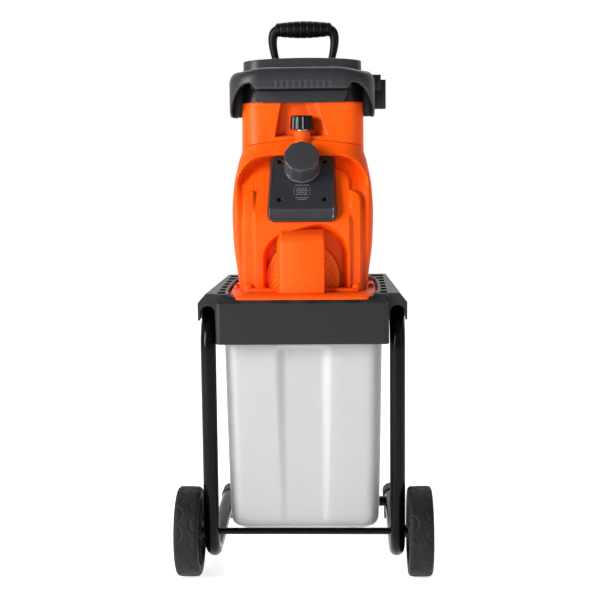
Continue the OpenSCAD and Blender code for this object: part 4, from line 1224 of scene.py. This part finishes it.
def stick_handle():
    """The push stick: its blade's head and shoulders, two curved arms and the ribbed grip."""
    y, grip_z = 67.0, 978.9
    b = Build()
    b.box((-54, y - 9, 735), (54, y + 9, 872), 3)
    b.box((-82, y - 6, 866.4), (82, y + 6, 880), 3)
    for side in (-1, 1):
        # x, z and radius along the arm
        path = [(36, 874, 6.0), (40.5, 888, 6.0), (45.5, 902, 6.1), (50, 916, 6.4), (54, 931, 6.9),
                (56.8, 945, 7.5), (57.9, 957, 8.1), (57.0, 967, 8.8), (53.5, 974.5, 9.6), (47, 978.5, 10.3)]
        rows = [[side * px, pz, pr] for px, pz, pr in path]
        reach = [i / 3 for i in range(3 * len(rows) - 2)]
        table = [[i] + row for i, row in enumerate(rows)]
        fine = [along(table, t) for t in reach]
        b.tube([(px, y, pz) for px, pz, pr in fine], lambda t: along(table, t * (len(rows) - 1))[2], 24)
    show(b.piece("stick_frame", 40), "black_plastic", "stick", "push_stick", look=HANDLE)
    grip = Build()
    profile = []
    for k in range(181):
        x = -53 + 106 * k / 180
        swell = 11.9 + 3.9 * math.cos(x / 53 * math.pi / 2)
        groove = 0.8 * max(0.0, math.cos(2 * math.pi * (x / 12.4 + 0.5))) ** 6 if abs(x) < 46 else 0.0
        end = 1 - 0.3 * smooth((abs(x) - 50) / 3)
        profile.append(((swell - groove) * end, x))
    profile = [(0.01, -53.6)] + profile + [(0.01, 53.6)]
    grip.revolve(profile, (y, grip_z), 64, closed=False)
    show(grip.piece("stick_grip", 50), "black_plastic", "stick", "push_stick_grip", look=HANDLE)


# ---- all of it

# The CAD nodes that keep their mesh, by the rounding of their edges in millimetres.
SOFT_EDGES = {
    2.0: ("feet", "control_panel"),
    1.5: ("platform",),
    1.2: ("bin_lock_bracket", "bin_lock_slider", "motor_capacitor"),
    1.0: ("tube_end_plugs", "direction_switch", "gearbox_housing", "gearbox_cover"),
    0.9: ("start_button", "stop_button"),
    0.8: ("feed_guard", "axle_spacers", "motor_end_shields", "motor_stator"),
    0.7: ("reset_button",),
    0.6: ("cutting_chamber", "axle"),
    0.5: ("discharge_chute", "drum_shaft"),
    0.4: ("counter_plate", "drum_bearings", "front_cross_tube", "lock_screw", "frame_bolts"),
    0.3: ("lock_washer", "motor_fan", "housing_screws", "adjuster_bush", "adjusting_screw"),
}

place_camera()
studio()
dress_cad_nodes()
for width, nodes in SOFT_EDGES.items():
    for node in nodes:
        soften(NODES[node], width)
frame_tubes()
wheels()
bin_shell()
housing_shell()
rear_cover()
cover_plinth()
vent()
duct()
base_dish()
hopper_body()
rim_lip()
rim_webs_in_painted_shade()
rim_collar()
rim_panel()
stick_clip()
console_cover()
adjusting_knob()
locking_knob()
stick_handle()
